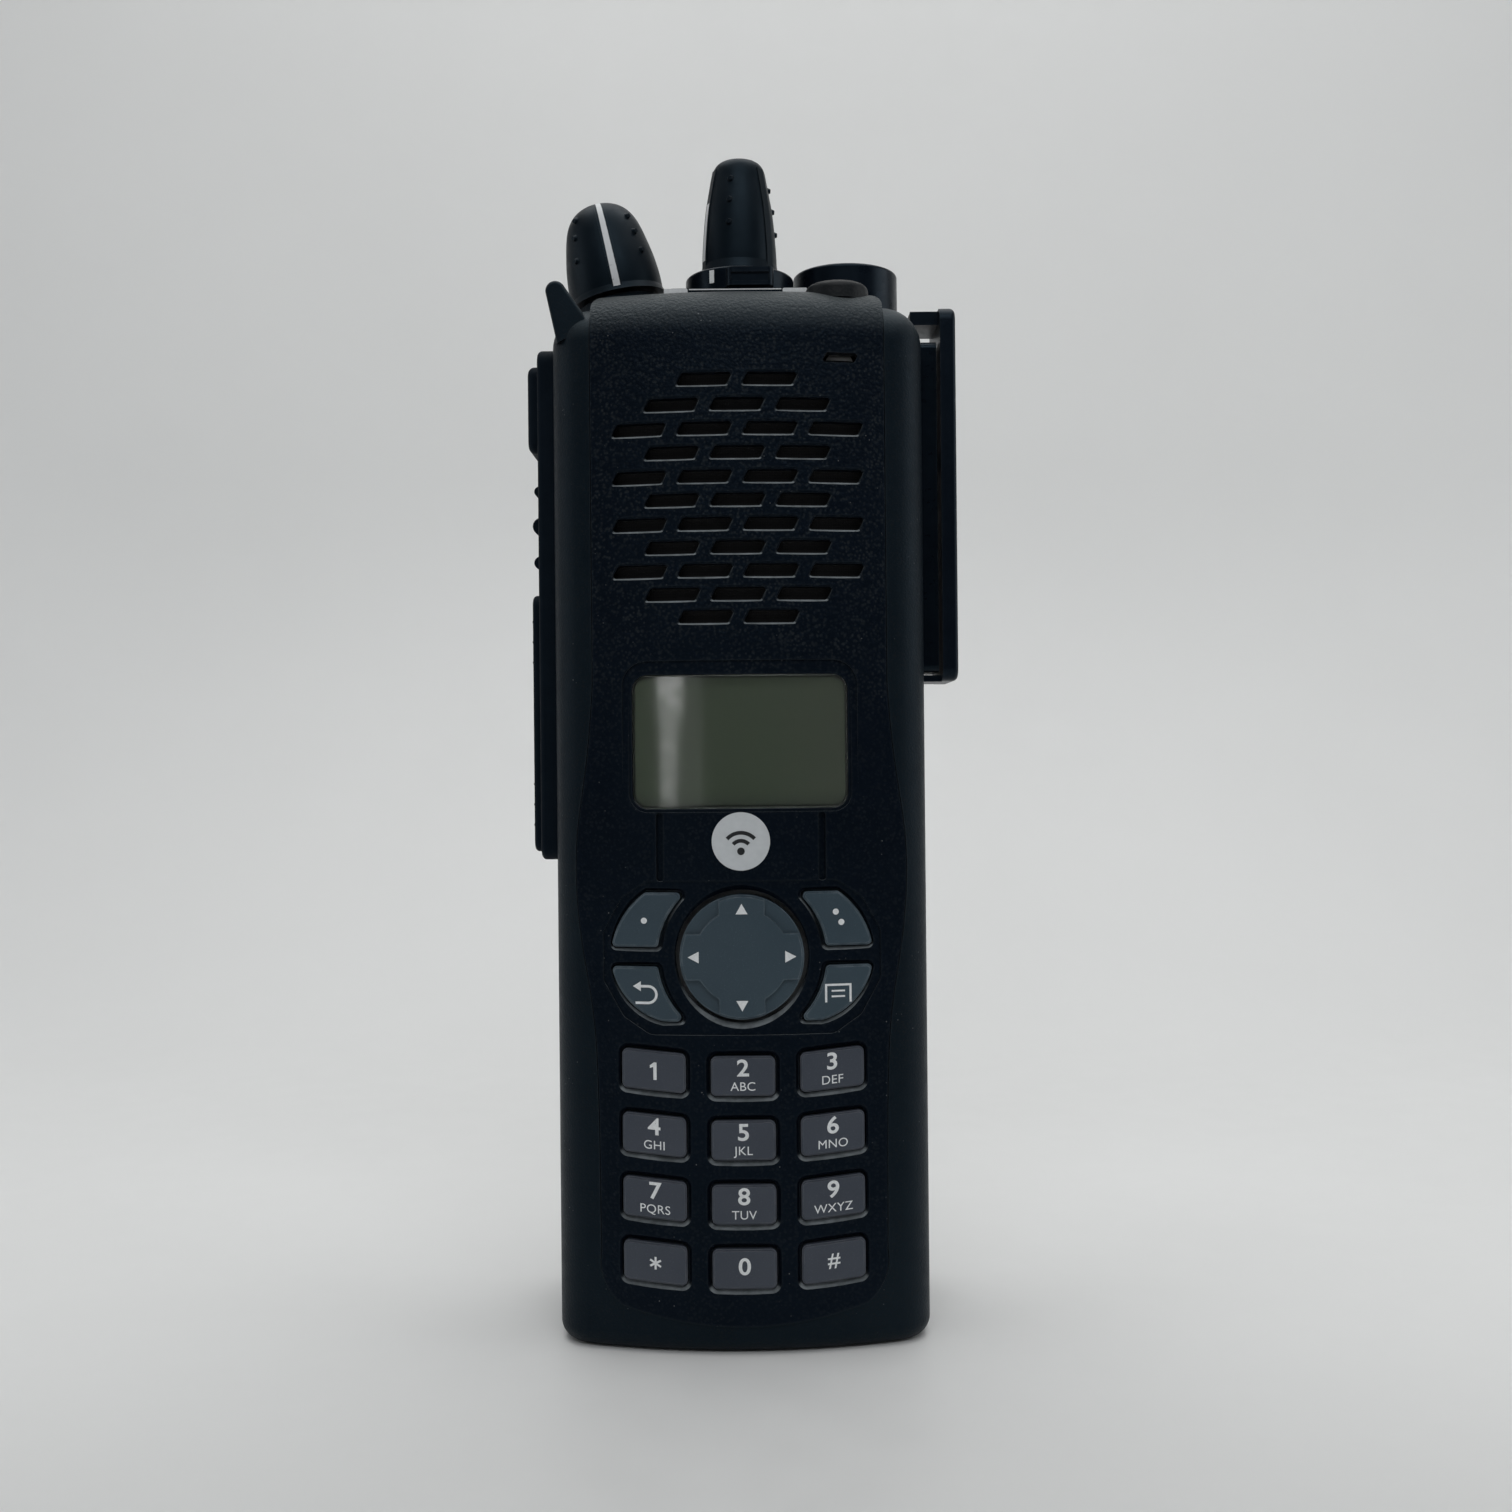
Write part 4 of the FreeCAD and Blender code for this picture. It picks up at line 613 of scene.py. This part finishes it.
# --------------------------------------------------------- floor and backdrop
def cyclorama():
    me = bpy.data.meshes.new("backdrop")
    bm = bmesh.new()
    prof = [(-0.75, 0.0), (0.10, 0.0)]
    yb, rr = 0.42, 0.22
    for i in range(17):
        a = math.radians(-90 + 90 * i / 16)
        prof.append((yb - rr + rr * math.cos(a), rr + rr * math.sin(a)))
    prof.append((yb, 1.6))
    rows = []
    for x in (-3.0, 3.0):
        rows.append([bm.verts.new((x, y, z)) for y, z in prof])
    for i in range(len(prof) - 1):
        bm.faces.new((rows[0][i], rows[1][i], rows[1][i + 1], rows[0][i + 1]))
    for f in bm.faces:
        f.smooth = True
    bmesh.ops.recalc_face_normals(bm, faces=bm.faces)
    bm.to_mesh(me); bm.free()
    o = bpy.data.objects.new("backdrop", me)
    bpy.context.collection.objects.link(o)
    M = Mat("backdrop_paper")
    n = M.noise(9, 3.0)
    paper = M.mix(M.rng(n, 0.3, 0.7, 0, 1), (0.80, 0.805, 0.80), (0.82, 0.825, 0.82))
    x, y, z = M.xyz()
    # Painted shade: the backdrop darkens towards the top.
    paper = M.mix(M.rng(z, 0.10, 0.62, 0.0, 0.26, smooth=True), paper, (0.50, 0.505, 0.50))
    # Painted shadow: the floor darkens towards the camera, in front of the radio.
    paper = M.mix(M.rng(y, 0.02, -0.14, 0.0, 0.55, smooth=True), paper, (0.50, 0.505, 0.50))
    M.set(Base_Color=paper, Roughness=M.rng(M.noise(90, 2.0), 0.3, 0.7, 0.45, 0.6))
    M.set(Normal=M.bump(M.noise(1800, 2.0), 0.05, 0.0001))
    me.materials.append(M.m)
    return o
cyclorama()

def area(name, loc, target, size, power, col=(1, 1, 1), size_y=None):
    l = bpy.data.lights.new(name, "AREA")
    l.energy, l.color = power, col
    l.shape = "RECTANGLE" if size_y else "SQUARE"
    l.size = size
    if size_y:
        l.size_y = size_y
    o = bpy.data.objects.new(name, l)
    o.location = loc
    o.rotation_euler = (Vector(target) - Vector(loc)).to_track_quat("-Z", "Y").to_euler()
    bpy.context.collection.objects.link(o)
    return o

# Soft light from above and both sides, as in a light tent; the front is dark
# but for a window that shows in the display.
area("top_soft", (0.0, 0.05, 0.80), (0.0, 0.0, 0.1), 0.9, 3.6, (1.0, 1.0, 0.99), size_y=0.6)
area("front_top", (0.05, -0.62, 0.72), (0.0, 0.0, 0.08), 0.7, 1.9, (0.97, 0.985, 1.0), size_y=0.35)
area("left_soft", (-0.72, -0.05, 0.30), (0.0, 0.0, 0.1), 0.45, 0.6, (0.96, 0.98, 1.0), size_y=0.5)
area("right_soft", (0.72, -0.05, 0.30), (0.0, 0.0, 0.1), 0.45, 1.0, (0.98, 0.99, 1.0), size_y=0.5)
area("window_upper", (-0.281, -0.875, 0.165), (-0.0118, -0.02, 0.1075), 0.100, 0.105, (1.0, 1.0, 1.0), size_y=0.068)
area("window_lower", (-0.290, -0.872, 0.093), (-0.0118, -0.02, 0.0965), 0.062, 0.040, (1.0, 1.0, 1.0), size_y=0.058)
area("window_glow", (-0.236, -0.930, 0.135), (-0.0098, -0.02, 0.1), 0.15, 0.036, (0.97, 0.99, 1.0), size_y=0.17)

w = bpy.data.worlds.new("soft_world")
bpy.context.scene.world = w
w.use_nodes = True
bg = w.node_tree.nodes["Background"]
bg.inputs[0].default_value = (0.90, 0.95, 1.0, 1)
bg.inputs[1].default_value = 0.07

# ------------------------------------------------------------------- camera
cam = bpy.data.cameras.new("camera")
cam.sensor_width = 36.0
cam.lens = 36.0 * 1600.0 / 1512.0
cam.clip_start = 0.01
co = bpy.data.objects.new("camera", cam)
bpy.context.collection.objects.link(co)
co.location = (0.00258, -0.280, 0.0972)
co.rotation_euler = (Matrix.Rotation(math.radians(90), 3, "X") @ Matrix.Rotation(math.radians(-0.54), 3, "Z")).to_euler()
bpy.context.scene.camera = co
bpy.context.scene.view_settings.view_transform = "Standard"
bpy.context.scene.view_settings.look = "None"

for o in N.values():
    if o.name not in ("grille_cloth",):
        me = o.data
        if len(me.polygons):
            me.polygons.foreach_set("use_smooth", [p.use_smooth for p in me.polygons])
